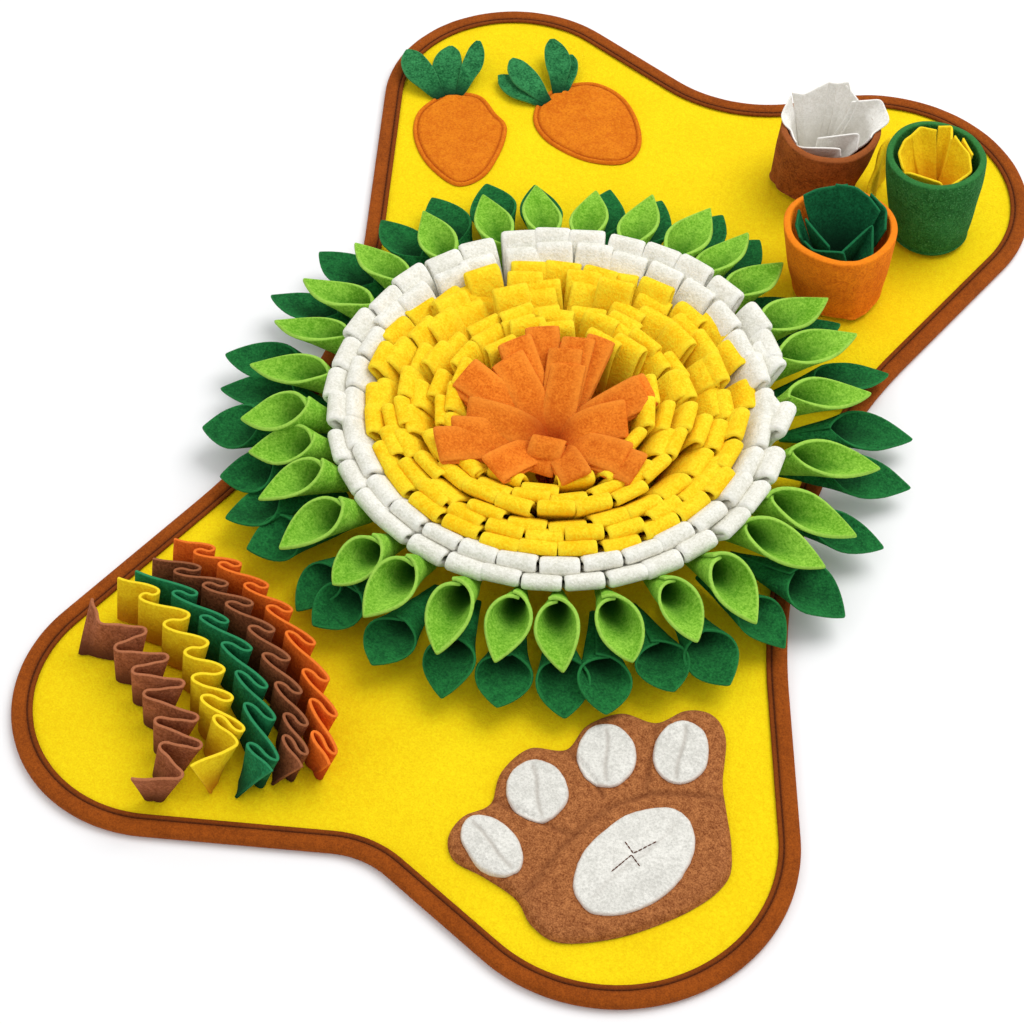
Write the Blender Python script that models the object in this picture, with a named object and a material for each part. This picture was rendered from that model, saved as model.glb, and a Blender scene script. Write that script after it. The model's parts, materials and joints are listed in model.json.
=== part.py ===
"""Snuffle mat: a bone-shaped fleece mat with a felt flower, three cups, ruffles, a paw and two carrots.

Units are metres, +Z is up. The mat's long side runs along +Y and its centre on the floor is the origin.
"""

import math
import random

import bmesh
import bpy
from mathutils import Vector

GAP = 0.0003                # between two pieces that touch
BASE_THICKNESS = 0.0045
BINDING_WIDTH = 0.0134
BINDING_HEIGHT = 0.0068
BINDING_TURN = 0.0040       # from the mat's edge to the panel's edge
SEWN_ON = BASE_THICKNESS + GAP   # height at which everything on the mat begins
FELT = 0.002

# The outline: four round lobes joined by four hollow waists, in clockwise order.
OUTLINE = (
    # piece, centre x, centre y, radius
    ("rear left lobe", -0.149, 0.297, 0.098),
    ("rear waist", 0.000, 0.450, 0.100),
    ("rear right lobe", 0.139, 0.290, 0.110),
    ("right waist", 0.602, -0.003, 0.424),
    ("front right lobe", 0.138, -0.289, 0.111),
    ("front waist", 0.000, -0.412, 0.056),
    ("front left lobe", -0.150, -0.292, 0.099),
    ("left waist", -0.602, -0.003, 0.424),
)
LOBE_STEPS = 12
WAIST_STEPS = 5

FLOWER = Vector((0.002, -0.017, 0.0))
SEED = 7

# Rolled leaves: pointed pieces of felt rolled into cones, open above, low tip longest.
LEAF_RINGS = (
    # name, sectors, root radius, root height, low slope, high slope, spread, tip length, seam share, colour
    ("dark_leaves", 2, 0.138, 0.0120, 6.5, 21.0, 0.240, 0.0975, 0.60, "dark green"),
    ("light_leaves", 4, 0.125, 0.0150, 17.4, 45.0, 0.235, 0.0905, 0.52, "light green"),
)
LEAF_POINT = 1.15           # how quickly the rim falls away from the tip towards the seam
LEAF_ANGLES = {
    # direction of each leaf about the flower's centre, uneven as they are sewn by hand
    "dark_leaves": (
        -6, 9, 20.5, 35, 48.5, 59.5, 70, 81, 91, 101, 112, 123, 133, 143, 155, 167,
        -177, -167.5, -158, -148.5, -139, -129.5, -120, -110.5, -101, -90, -79.5, -70, -60.5, -51, -41.5, -32, -21.5,
    ),
    "light_leaves": (
        7, 25, 38, 49, 61.5, 71, 81, 91.5, 103.5, 113.5, 124.5, 139, 153.5, 164.5, 177,
        -170, -158.5, -148, -138.5, -127.5, -115.5, -105, -92, -79.5, -69.5, -58.5, -45, -32, -19.5, -8,
    ),
}
LEAF_SIDES = 8              # four for each corner pair of the strip behind
LEAF_ROOT = 0.012           # distance from the cone's point at which a leaf starts
LEAF_FLOOR = 0.022          # depth of the pocket's bottom from the cone's point
LEAF_STRIPS = {
    # the sewn strip's section as (radius, height) from the inside bottom, anticlockwise
    "dark_leaves": ((0.1355, SEWN_ON), (0.1420, SEWN_ON), (0.1420, 0.0130), (0.1355, 0.0110)),
    "light_leaves": ((0.1190, SEWN_ON), (0.1275, SEWN_ON), (0.1275, 0.0165), (0.1200, 0.0090)),
}

# What stands beside the flower: centre on the mat, and radius that leaves stay out of.
LEAF_OBSTACLES = (
    ((0.1340, 0.1925), 0.0395),
    ((-0.2170, -0.3900), 0.2030),
)
LEAF_CLEARANCE = 0.0020

# Rings of folded strips, each leaning outwards from its sewn root.
STRIP_RINGS = (
    # name, count, root radius, top radius, top height, width, root depth, top depth, colour
    ("white_strips_outer", 35, 0.1125, 0.1495, 0.0495, 0.0245, 0.0046, 0.0088, "white"),
    ("white_strips_inner", 32, 0.1010, 0.1355, 0.0520, 0.0245, 0.0046, 0.0088, "white"),
    ("yellow_strips_1", 29, 0.0905, 0.1205, 0.0530, 0.0240, 0.0042, 0.0064, "yellow"),
    ("yellow_strips_2", 27, 0.0820, 0.1105, 0.0535, 0.0240, 0.0042, 0.0064, "yellow"),
    ("yellow_strips_3", 24, 0.0735, 0.1005, 0.0540, 0.0240, 0.0042, 0.0064, "yellow"),
    ("yellow_strips_4", 22, 0.0650, 0.0900, 0.0545, 0.0240, 0.0042, 0.0064, "yellow"),
    ("yellow_strips_5", 19, 0.0560, 0.0790, 0.0550, 0.0240, 0.0042, 0.0064, "yellow"),
    ("yellow_strips_6", 16, 0.0470, 0.0680, 0.0555, 0.0240, 0.0042, 0.0064, "yellow"),
)
STRIP_SHOULDER = 0.86       # share of a strip's height at which it is thickest
STRIP_LEAN_SPREAD = 0.0006  # uneven lean of the tops
STRIP_HEIGHT_SPREAD = 0.0015
STRIP_ROOM = 0.0006         # between two strips of one ring, at the shoulder
BACKING_HEIGHT = 0.0012

# The orange middle: longer strips that rise from one root and bend outwards over the yellow ones.
TUFT_OFFSET = Vector((-0.001, -0.016, 0.0))
TUFT_OUTER = (
    # angle, shoulder radius, shoulder height, tip radius, tip height, width
    (24.0, 0.042, 0.0560, 0.060, 0.0630, 0.0240),
    (62.0, 0.038, 0.0560, 0.058, 0.0670, 0.0240),
    (93.0, 0.034, 0.0540, 0.050, 0.0710, 0.0240),
    (123.0, 0.035, 0.0540, 0.052, 0.0700, 0.0240),
    (154.0, 0.037, 0.0560, 0.053, 0.0680, 0.0240),
    (188.0, 0.040, 0.0580, 0.056, 0.0640, 0.0240),
    (222.0, 0.044, 0.0600, 0.066, 0.0630, 0.0240),
    (256.0, 0.042, 0.0610, 0.062, 0.0620, 0.0220),
    (298.0, 0.042, 0.0610, 0.062, 0.0620, 0.0220),
    (334.0, 0.044, 0.0600, 0.066, 0.0630, 0.0240),
)
TUFT_INNER = (
    (8.0, 0.025, 0.0500, 0.035, 0.0620, 0.0220),
    (85.0, 0.022, 0.0520, 0.032, 0.0720, 0.0240),
    (150.0, 0.024, 0.0540, 0.036, 0.0680, 0.0240),
    (205.0, 0.024, 0.0500, 0.034, 0.0600, 0.0220),
    (278.0, 0.018, 0.0400, 0.030, 0.0480, 0.0200),
)
TUFT_OUTER_ROOT = 0.0190
TUFT_INNER_ROOT = 0.0095
TUFT_DEPTH = 0.0052

# Felt cups, wider at the rim, sewn on round a small turned-out foot.
CUPS = (
    # name, foot x, foot y, foot radius, rim radius, height, lean x, lean y, colour
    ("green_cup", 0.1830, 0.2680, 0.0262, 0.0356, 0.0720, -0.0056, 0.0080, "heather green"),
    ("brown_cup", 0.0900, 0.2920, 0.0288, 0.0362, 0.0600, 0.0085, -0.0030, "cup brown"),
    ("orange_cup", 0.1365, 0.1900, 0.0300, 0.0392, 0.0620, -0.0045, 0.0050, "cup orange"),
)
CUP_WALL = 0.0035
CUP_FOOT = 0.0022           # how far the foot turns out
CUP_FOOT_HEIGHT = 0.0025
CUP_ROUNDING = 0.0015       # at the rim and above the foot
CUP_BELLY = 0.0012          # bulge of the wall at 0.55 of its height
CUP_SIDES = 24

# Crumpled strips in each cup: their tops' direction, distance out, height and width.
STUFFINGS = {
    "green_cup": (
        # angle, top radius, top height, width
        (25.0, 0.0245, 0.0720, 0.021),
        (75.0, 0.026, 0.0780, 0.023),
        (130.0, 0.026, 0.0800, 0.024),
        (185.0, 0.025, 0.0720, 0.021),
        (245.0, 0.020, 0.0600, 0.022),
        (310.0, 0.021, 0.0620, 0.020),
    ),
    "brown_cup": (
        (20.0, 0.036, 0.0740, 0.026),
        (72.0, 0.026, 0.0740, 0.025),
        (125.0, 0.025, 0.0780, 0.025),
        (180.0, 0.025, 0.0710, 0.022),
        (240.0, 0.020, 0.0590, 0.021),
        (305.0, 0.021, 0.0610, 0.022),
    ),
    "orange_cup": (
        (30.0, 0.028, 0.0680, 0.025),
        (82.0, 0.028, 0.0740, 0.027),
        (135.0, 0.029, 0.0770, 0.028),
        (190.0, 0.026, 0.0600, 0.021),
        (250.0, 0.018, 0.0460, 0.018),
        (315.0, 0.022, 0.0540, 0.022),
    ),
}
STUFFING_ROOT = 0.011
STUFFING_DEPTH = 0.0035
STUFFING_LEAN = 0.3         # share of the cup's lean that its filling follows

# A doubled strip of felt that stands between the brown and the green cup.
TAB = (
    # x, y, top height
    (0.1390, 0.2590, 0.0260),
    (0.1355, 0.2690, 0.0330),
    (0.1365, 0.2820, 0.0400),
    (0.1355, 0.2970, 0.0460),
    (0.1390, 0.3080, 0.0480),
)
TAB_THICKNESS = 0.0040

# Pleated ruffles that stand in arcs about one centre on the front left lobe.
RUFFLE_CENTRE = (-0.2170, -0.3900)
RUFFLES = (
    # name, radius, first angle, last angle, folds, height, foot swing, top swing, colour
    ("ruffle_tan", 0.1150, 20.0, 84.0, 6, 0.0360, 0.0060, 0.0105, "tan"),
    ("ruffle_yellow", 0.1420, 23.0, 84.0, 7, 0.0390, 0.0060, 0.0100, "yellow"),
    ("ruffle_green", 0.1620, 22.0, 82.0, 7, 0.0390, 0.0050, 0.0076, "ruffle green"),
    ("ruffle_brown", 0.1785, 25.0, 81.0, 8, 0.0370, 0.0050, 0.0068, "brown"),
    ("ruffle_orange", 0.1945, 27.0, 80.0, 9, 0.0360, 0.0050, 0.0068, "ruffle orange"),
)
RUFFLE_CURL = 0.0022        # how far each fold bulges along the arc
RUFFLE_POINTS = 6           # centre line points on each fold
RUFFLE_FELT = 0.0018

# Closed shapes through a few edge points, from the left and clockwise, in mat coordinates.
PAW_EDGE = (
    (0.047, -0.325), (0.050, -0.309), (0.062, -0.295), (0.060, -0.272), (0.070, -0.250), (0.091, -0.243),
    (0.097, -0.222), (0.114, -0.206), (0.136, -0.205), (0.150, -0.190), (0.166, -0.187), (0.179, -0.199),
    (0.187, -0.230), (0.194, -0.246), (0.206, -0.272), (0.210, -0.294), (0.196, -0.320), (0.166, -0.349),
    (0.134, -0.366), (0.114, -0.362), (0.099, -0.349), (0.076, -0.342), (0.056, -0.338),
)
CARROT_EDGES = {
    "carrot_left": (
        (-0.185, 0.289), (-0.165, 0.288), (-0.145, 0.267), (-0.135, 0.240), (-0.138, 0.208),
        (-0.155, 0.192), (-0.176, 0.202), (-0.199, 0.226), (-0.210, 0.255), (-0.203, 0.278),
    ),
    "carrot_right": (
        (-0.120, 0.318), (-0.097, 0.332), (-0.071, 0.325), (-0.050, 0.302), (-0.040, 0.276),
        (-0.047, 0.256), (-0.074, 0.249), (-0.105, 0.257), (-0.124, 0.274), (-0.129, 0.297),
    ),
}
CARROT_THICKNESS = 0.0022
PAW_THICKNESS = 0.0065
PAD_THICKNESS = 0.0018
PADS = (
    # name, centre x, centre y, half length, half width, turn of the length from +X
    ("toe_pad_1", 0.0745, -0.3190, 0.0235, 0.0150, 148.0),
    ("toe_pad_2", 0.0870, -0.2740, 0.0215, 0.0185, 120.0),
    ("toe_pad_3", 0.1165, -0.2355, 0.0225, 0.0180, 110.0),
    ("toe_pad_4", 0.1590, -0.2170, 0.0230, 0.0168, 100.0),
    ("palm_pad", 0.1570, -0.3005, 0.0430, 0.0275, 66.0),
)

# Carrot leaves: pointed ovals of felt, sewn down at the root with the tip raised.
LEAVES = (
    # name, root x, root y, tip x, tip y, width, tip height, layer
    ("carrot_leaf_1", -0.1960, 0.2850, -0.2380, 0.3020, 0.026, 0.020, 1),
    ("carrot_leaf_2", -0.1850, 0.2890, -0.1920, 0.3310, 0.016, 0.022, 2),
    ("carrot_leaf_3", -0.1910, 0.2890, -0.2120, 0.3220, 0.022, 0.010, 0),
    ("carrot_leaf_4", -0.1250, 0.3070, -0.1610, 0.3220, 0.022, 0.018, 1),
    ("carrot_leaf_5", -0.1190, 0.3170, -0.1390, 0.3510, 0.022, 0.022, 2),
    ("carrot_leaf_6", -0.1150, 0.3240, -0.1200, 0.3480, 0.020, 0.010, 0),
    ("carrot_leaf_7", -0.1280, 0.3020, -0.1650, 0.3080, 0.018, 0.009, 0),
)
LEAF_STATIONS = (0.0, 0.18, 0.42, 0.68, 0.88, 1.0)

COLOURS = {
    # name: red, green, blue
    "base yellow": (0.95, 0.72, 0.01),
    "binding brown": (0.35, 0.08, 0.01),
    "dark green": (0.01, 0.13, 0.04),
    "light green": (0.22, 0.50, 0.04),
    "white": (0.85, 0.85, 0.80),
    "yellow": (0.95, 0.68, 0.02),
    "orange": (0.80, 0.20, 0.02),
    "cup brown": (0.28, 0.08, 0.02),
    "heather green": (0.04, 0.19, 0.05),
    "cup orange": (0.80, 0.17, 0.01),
    "tan": (0.32, 0.11, 0.05),
    "ruffle green": (0.01, 0.16, 0.05),
    "brown": (0.20, 0.07, 0.03),
    "ruffle orange": (0.80, 0.15, 0.01),
    "paw brown": (0.36, 0.11, 0.03),
    "leaf green": (0.01, 0.15, 0.04),
}


def clear_scene():
    for thing in list(bpy.data.objects):
        bpy.data.objects.remove(thing, do_unlink=True)


def felt_material(colour):
    material = bpy.data.materials.get(colour)
    if material is None:
        material = bpy.data.materials.new(colour)
        material.use_nodes = True
        shader = material.node_tree.nodes["Principled BSDF"]
        shader.inputs["Base Color"].default_value = (*COLOURS[colour], 1.0)
        shader.inputs["Roughness"].default_value = 0.95
        shader.inputs["Metallic"].default_value = 0.0
    return material


def add_piece(name, points, faces, colour):
    """A new object from points and faces whose normals are made to point outwards."""
    mesh = bpy.data.meshes.new(name)
    piece = bpy.data.objects.new(name, mesh)
    bpy.context.scene.collection.objects.link(piece)
    shape = bmesh.new()
    corners = [shape.verts.new(point) for point in points]
    for face in faces:
        shape.faces.new([corners[index] for index in face])
    bmesh.ops.recalc_face_normals(shape, faces=shape.faces)
    shape.to_mesh(mesh)
    shape.free()
    mesh.materials.append(felt_material(colour))
    mesh.shade_smooth()
    mesh.set_sharp_from_angle(angle=math.radians(40))
    return piece


def ring_faces(rings, size, closed_size=True):
    """Quads between each ring of points and the next one."""
    steps = size if closed_size else size - 1
    return [
        (row * size + i, row * size + (i + 1) % size, (row + 1) * size + (i + 1) % size, (row + 1) * size + i)
        for row in range(rings - 1)
        for i in range(steps)
    ]


# ---- the mat's outline ----

def tangent_angle(centre, radius, other_centre, other_radius):
    """Direction of the other circle, and the angle from it to the inner common tangent's foot."""
    across = other_centre - centre
    return math.atan2(across.y, across.x), math.acos((radius + other_radius) / across.length)


def outline_stations():
    """Points round the mat's edge with their outward normals, as (point, normal) pairs."""
    stations = []
    for index, (_, x, y, radius) in enumerate(OUTLINE):
        centre = Vector((x, y))
        _, before_x, before_y, before_radius = OUTLINE[index - 1]
        _, after_x, after_y, after_radius = OUTLINE[(index + 1) % len(OUTLINE)]
        to_before, turn_before = tangent_angle(centre, radius, Vector((before_x, before_y)), before_radius)
        to_after, turn_after = tangent_angle(centre, radius, Vector((after_x, after_y)), after_radius)
        lobe = index % 2 == 0
        side = 1 if lobe else -1
        first = to_before - side * turn_before
        last = to_after + side * turn_after
        while side * (first - last) < 0:
            last -= side * math.tau
        while side * (first - last) > math.tau:
            last += side * math.tau
        steps = LOBE_STEPS if lobe else WAIST_STEPS
        for step in range(steps + 1):
            angle = first + (last - first) * step / steps
            outwards = Vector((math.cos(angle), math.sin(angle)))
            stations.append((centre + radius * outwards, side * outwards))
    return stations


def inset_outline(stations, inset):
    return [point - inset * normal for point, normal in stations]


def base_panel():
    edge = inset_outline(outline_stations(), BINDING_TURN + GAP)
    size = len(edge)
    points = [(p.x, p.y, z) for z in (0.0, BASE_THICKNESS) for p in edge]
    faces = ring_faces(2, size) + [tuple(range(size)), tuple(range(size, 2 * size))]
    add_piece("base_panel", points, faces, "base yellow")


def binding():
    """The edge tape: upright round the rim, with a flat lip over the panel's edge."""
    stations = outline_stations()
    under = BASE_THICKNESS + GAP
    section = (
        # inset, height
        (BINDING_TURN, 0.0),
        (0.0010, 0.0),
        (0.0000, 0.0034),
        (0.0018, BINDING_HEIGHT - 0.0003),
        (BINDING_WIDTH - 0.0012, BINDING_HEIGHT),
        (BINDING_WIDTH, under),
        (BINDING_TURN, under),
    )
    points = []
    for point, normal in stations:
        for inset, height in section:
            spot = point - inset * normal
            points.append((spot.x, spot.y, height))
    size = len(section)
    count = len(stations)
    faces = []
    for i in range(count):
        for j in range(size):
            k = (j + 1) % size
            n = (i + 1) % count
            faces.append((i * size + j, i * size + k, n * size + k, n * size + j))
    add_piece("binding", points, faces, "binding brown")


# ---- the flower ----

def polar(centre, radius, angle, height):
    return Vector((centre.x + radius * math.cos(angle), centre.y + radius * math.sin(angle), height))


def leaf_rim(angle, low_slope, high_slope, spread, tip_length, seam_share, root_radius, root_height):
    """One rolled leaf's root ring, rim, lining and pocket floor, as lists of points."""
    outwards = Vector((math.cos(angle), math.sin(angle), 0.0))
    along = Vector((-math.sin(angle), math.cos(angle), 0.0))
    middle = math.radians(low_slope + high_slope) / 2
    rise = math.tan(math.radians(high_slope - low_slope) / 2)
    axis = math.cos(middle) * outwards + math.sin(middle) * Vector((0, 0, 1))
    upwards = -math.sin(middle) * outwards + math.cos(middle) * Vector((0, 0, 1))
    point = FLOWER + root_radius * outwards + Vector((0, 0, root_height))
    root, rim, lining = [], [], []
    for i in range(LEAF_SIDES):
        roll = math.tau * i / LEAF_SIDES                      # 0 at the low corner
        fold = min(roll, math.tau - roll) / math.pi
        length = tip_length * (seam_share + (1 - seam_share) * (1 - fold) ** LEAF_POINT)
        across = -math.cos(roll) * rise * upwards + math.sin(roll) * spread * along
        ray = (axis + across).normalized()
        root.append(point + LEAF_ROOT * ray)
        rim.append(point + length * ray)
        lining.append(point + length * ray - FELT * across.normalized())
    return root, rim, lining, point + LEAF_FLOOR * axis


def leaf_length(angle, length, *shape):
    """A leaf's length, made smaller until its rim clears the cup and the ruffles beside it."""
    while True:
        rim = leaf_rim(angle, *shape[:3], length, *shape[3:])[1]
        clear = all(
            (Vector((spot.x, spot.y)) - Vector(centre)).length > radius + LEAF_CLEARANCE
            for centre, radius in LEAF_OBSTACLES
            for spot in rim
        )
        if clear:
            return length
        length -= 0.001


def leaf_ring(name, sectors, root_radius, root_height, low_slope, high_slope, spread, length, seam_share, colour):
    """The rolled leaves of one ring, each growing from its stretch of the sewn strip, in sectors."""
    section = LEAF_STRIPS[name]
    size = len(section)
    angles = LEAF_ANGLES[name]
    count = len(angles)
    halfway = [0.5 * (angles[i - 1] + angles[i]) for i in range(count)]
    turned = next(i for i in range(count) if angles[i - 1] > angles[i] and i > 0)
    halfway[turned] += 180
    halfway.append(halfway[0])
    for sector in range(sectors):
        first = sector * count // sectors
        last = (sector + 1) * count // sectors
        trim = math.degrees(0.5 * GAP / root_radius)
        steps = last - first
        points = []
        for step in range(steps + 1):
            bend = trim if step == 0 else -trim if step == steps else 0.0
            angle = math.radians(halfway[first + step] + bend)
            points += [polar(FLOWER, radius, angle, height) for radius, height in section]
        faces = [tuple(range(size)), tuple(range(steps * size, (steps + 1) * size))]
        for step in range(steps):
            here, there = step * size, (step + 1) * size
            for k in (0, 2, 3):                               # bottom, top and inside of the strip
                n = (k + 1) % size
                faces.append((here + k, here + n, there + n, there + k))
            angle = math.radians(angles[first + step])
            shape = (low_slope, high_slope, spread)
            rest = (seam_share, root_radius, root_height)
            own_length = leaf_length(angle, length, *shape, *rest)
            root, rim, lining, floor = leaf_rim(angle, *shape, own_length, *rest)
            base = len(points)
            points += root + rim + lining + [floor]
            corners = (there + 1, there + 2, here + 2, here + 1)
            for quarter in range(4):
                low, middle, high = (base + (2 * quarter + k) % LEAF_SIDES for k in range(3))
                corner = corners[quarter]
                faces += [(corners[quarter - 1], corner, low), (corner, middle, low), (corner, high, middle)]
            for row in range(2):
                for i in range(LEAF_SIDES):
                    n = (i + 1) % LEAF_SIDES
                    level = base + row * LEAF_SIDES
                    faces.append((level + i, level + n, level + LEAF_SIDES + n, level + LEAF_SIDES + i))
            edge = base + 2 * LEAF_SIDES
            faces += [(edge + i, edge + (i + 1) % LEAF_SIDES, base + 3 * LEAF_SIDES) for i in range(LEAF_SIDES)]
        add_piece(f"{name}_{sector + 1}", points, faces, colour)


def grow_strips(name, centre, root_radius, root_depth, strips, colour):
    """A ring of strips that grow side by side out of one sewn backing.

    Each strip is a dictionary: from, to (its root's angles), angle, spine (radius, height, depth, width).
    """
    points, faces = [], []
    count = len(strips)
    inner, outer = root_radius - root_depth / 2, root_radius + root_depth / 2
    levels = (SEWN_ON, SEWN_ON + BACKING_HEIGHT)
    for strip in strips:
        for height in levels:
            for radius in (inner, outer):
                points.append(polar(centre, radius, strip["from"], height))
    for i, strip in enumerate(strips):
        a, b = 4 * i, 4 * ((i + 1) % count)
        faces += [(a, b, b + 1, a + 1), (a, a + 2, b + 2, b), (a + 1, b + 1, b + 3, a + 3)]
        below = [a + 2, a + 3, b + 3, b + 2]
        outwards = Vector((math.cos(strip["angle"]), math.sin(strip["angle"]), 0.0))
        along = Vector((-outwards.y, outwards.x, 0.0))
        before = (root_radius, levels[1])
        for radius, height, depth, width in strip["spine"]:
            lean = Vector((radius - before[0], height - before[1])).normalized()
            through = lean.y * outwards - lean.x * Vector((0, 0, 1))
            middle = centre + radius * outwards + Vector((0, 0, height))
            start = len(points)
            for far, side in ((-1, -1), (1, -1), (1, 1), (-1, 1)):
                points.append(middle + far * depth / 2 * through + side * width / 2 * along)
            above = list(range(start, start + 4))
            faces += [(below[k], below[(k + 1) % 4], above[(k + 1) % 4], above[k]) for k in range(4)]
            below = above
            before = (radius, height)
        faces.append(tuple(below))
    return add_piece(name, points, faces, colour)


def strip_ring(name, count, root_radius, top_radius, top_height, width, root_depth, top_depth, colour, chance):
    """One ring of folded strips about the flower's centre, each a little uneven."""
    strips = []
    shift = chance.random()
    for i in range(count):
        angle = math.tau * (i + shift) / count
        lift = chance.uniform(-1, 1) * STRIP_HEIGHT_SPREAD
        out = top_radius + chance.uniform(-1, 1) * STRIP_LEAN_SPREAD
        share = STRIP_SHOULDER
        shoulder_radius = root_radius + (out - root_radius) * share
        shoulder_height = SEWN_ON + BACKING_HEIGHT + (top_height + lift - SEWN_ON - BACKING_HEIGHT) * share
        room = math.tau * shoulder_radius / count - STRIP_ROOM
        strips.append({
            "from": math.tau * (i + shift - 0.5) / count,
            "angle": angle,
            "spine": (
                (shoulder_radius, shoulder_height, top_depth, min(width, room)),
                (out, top_height + lift, 0.55 * top_depth, min(width, room)),
            ),
        })
    grow_strips(name, FLOWER, root_radius, root_depth, strips, colour)


# ---- cups and what is in them ----

def cup(name, x, y, foot_radius, rim_radius, height, lean_x, lean_y, colour):
    """A tapered tube of felt, open at the top and sewn down at its turned-out foot."""
    section = (
        # height, radius
        (SEWN_ON, foot_radius + CUP_FOOT),
        (SEWN_ON + CUP_FOOT_HEIGHT, foot_radius + CUP_FOOT),
        (SEWN_ON + CUP_FOOT_HEIGHT + CUP_ROUNDING, foot_radius),
        (0.55 * height, 0.45 * foot_radius + 0.55 * rim_radius + CUP_BELLY),
        (height - CUP_ROUNDING, rim_radius),
        (height, rim_radius - CUP_WALL / 2),
        (height - CUP_ROUNDING, rim_radius - CUP_WALL),
        (0.55 * height, 0.45 * foot_radius + 0.55 * rim_radius + CUP_BELLY - CUP_WALL),
        (SEWN_ON, foot_radius - CUP_WALL),
    )
    points = []
    for level, radius in section:
        share = level / height
        for i in range(CUP_SIDES):
            angle = math.tau * i / CUP_SIDES
            points.append((
                x + share * lean_x + radius * math.cos(angle),
                y + share * lean_y + radius * math.sin(angle),
                level,
            ))
    rings = len(section)
    faces = ring_faces(rings, CUP_SIDES)
    last = (rings - 1) * CUP_SIDES
    faces += [(last + i, last + (i + 1) % CUP_SIDES, (i + 1) % CUP_SIDES, i) for i in range(CUP_SIDES)]
    add_piece(name, points, faces, colour)


def root_start(strips, index):
    """Angle at which a strip's share of the root begins: halfway from the strip before."""
    before = strips[index - 1][0] - (360 if index == 0 else 0)
    return math.radians((before + strips[index][0]) / 2)


def tuft_strips(name, root_radius, rows):
    """Long strips that rise from one root, then bend outwards at the shoulder."""
    grown = []
    for index, (angle, shoulder_radius, shoulder_height, tip_radius, tip_height, width) in enumerate(rows):
        middle_radius = (root_radius + shoulder_radius) / 2
        room = 0.9 * math.tau / len(rows)
        grown.append({
            "from": root_start(rows, index),
            "angle": math.radians(angle),
            "spine": (
                (middle_radius, 0.55 * shoulder_height, TUFT_DEPTH, min(room * middle_radius, width)),
                (shoulder_radius, shoulder_height, TUFT_DEPTH, min(room * shoulder_radius, width)),
                (tip_radius, tip_height, 0.6 * TUFT_DEPTH, min(room * tip_radius, width)),
            ),
        })
    grow_strips(name, FLOWER + TUFT_OFFSET, root_radius, TUFT_DEPTH, grown, "orange")


def filling(name, centre, strips, colour):
    """Felt strips bunched at one root in a cup, steep at first and flatter at the top."""
    grown = []
    for index, (angle, top_radius, top_height, width) in enumerate(strips):
        middle_radius = 0.45 * top_radius + 0.55 * STUFFING_ROOT
        room = 0.85 * math.tau * middle_radius / len(strips)
        grown.append({
            "from": root_start(strips, index),
            "angle": math.radians(angle),
            "spine": (
                (middle_radius, 0.58 * top_height, STUFFING_DEPTH, min(room, width)),
                (0.94 * top_radius, 0.96 * top_height, STUFFING_DEPTH, width),
                (top_radius, top_height, 0.5 * STUFFING_DEPTH, 0.94 * width),
            ),
        })
    grow_strips(name, centre, STUFFING_ROOT, STUFFING_DEPTH, grown, colour)


def cups_and_fillings():
    fillings = {"green_cup": "yellow", "brown_cup": "white", "orange_cup": "dark green"}
    for row in CUPS:
        cup(*row)
        name, x, y = row[:3]
        centre = Vector((x + STUFFING_LEAN * row[6], y + STUFFING_LEAN * row[7], 0.0))
        filling(f"{name}_filling", centre, STUFFINGS[name], fillings[name])


def tab():
    """A doubled strip that stands along a bent line, its top rising towards the rear."""
    count = len(TAB)
    spots = [Vector(row[:2]) for row in TAB]
    rings = [[], []]
    for side in (1, -1):
        for i in range(count)[::side]:
            run = (spots[min(i + 1, count - 1)] - spots[max(i - 1, 0)]).normalized()
            edge = spots[i] + side * TAB_THICKNESS / 2 * Vector((-run.y, run.x))
            rings[0].append((edge.x, edge.y, SEWN_ON))
            rings[1].append((edge.x, edge.y, TAB[i][2]))
    size = 2 * count
    faces = ring_faces(2, size)
    for base in (0, size):
        faces += [(base + i, base + i + 1, base + size - 2 - i, base + size - 1 - i) for i in range(count - 1)]
    add_piece("yellow_tab", rings[0] + rings[1], faces, "yellow")


# ---- ruffles ----

def ruffle(name, radius, first, last, folds, height, foot_swing, top_swing, colour):
    """A standing strip of felt pleated to and fro across an arc, wider in its swing at the top."""
    count = folds * RUFFLE_POINTS + 1
    levels = ((SEWN_ON, foot_swing), (height, top_swing))
    start, end = math.radians(first), math.radians(last)
    points = []
    for level, swing in levels:
        line = []
        for i in range(count):
            phase = math.tau * folds * i / (count - 1)
            bow = -RUFFLE_CURL * math.sin(2 * phase)
            angle = start + (end - start) * i / (count - 1) + bow / radius
            reach = radius + swing * math.sin(phase)
            line.append(Vector((
                RUFFLE_CENTRE[0] + reach * math.cos(angle),
                RUFFLE_CENTRE[1] + reach * math.sin(angle),
            )))
        left, right = [], []
        for i, spot in enumerate(line):
            run = (line[min(i + 1, count - 1)] - line[max(i - 1, 0)]).normalized()
            across = Vector((-run.y, run.x)) * RUFFLE_FELT / 2
            left.append((spot.x + across.x, spot.y + across.y, level))
            right.append((spot.x - across.x, spot.y - across.y, level))
        points += left + right[::-1]
    size = 2 * count
    faces = ring_faces(2, size)
    for base in (0, size):
        faces += [(base + i, base + i + 1, base + size - 2 - i, base + size - 1 - i) for i in range(count - 1)]
    add_piece(name, points, faces, colour)


# ---- flat shapes ----

def smooth_loop(corners, steps):
    """A closed Catmull-Rom curve through the corners."""
    loop = []
    count = len(corners)
    spots = [Vector(corner) for corner in corners]
    for i in range(count):
        before, here, after, later = (spots[(i + k) % count] for k in (-1, 0, 1, 2))
        for step in range(steps):
            t = step / steps
            loop.append(0.5 * (
                2 * here
                + (after - before) * t
                + (2 * before - 5 * here + 4 * after - later) * t * t
                + (3 * here - before - 3 * after + later) * t * t * t
            ))
    return loop


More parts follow.
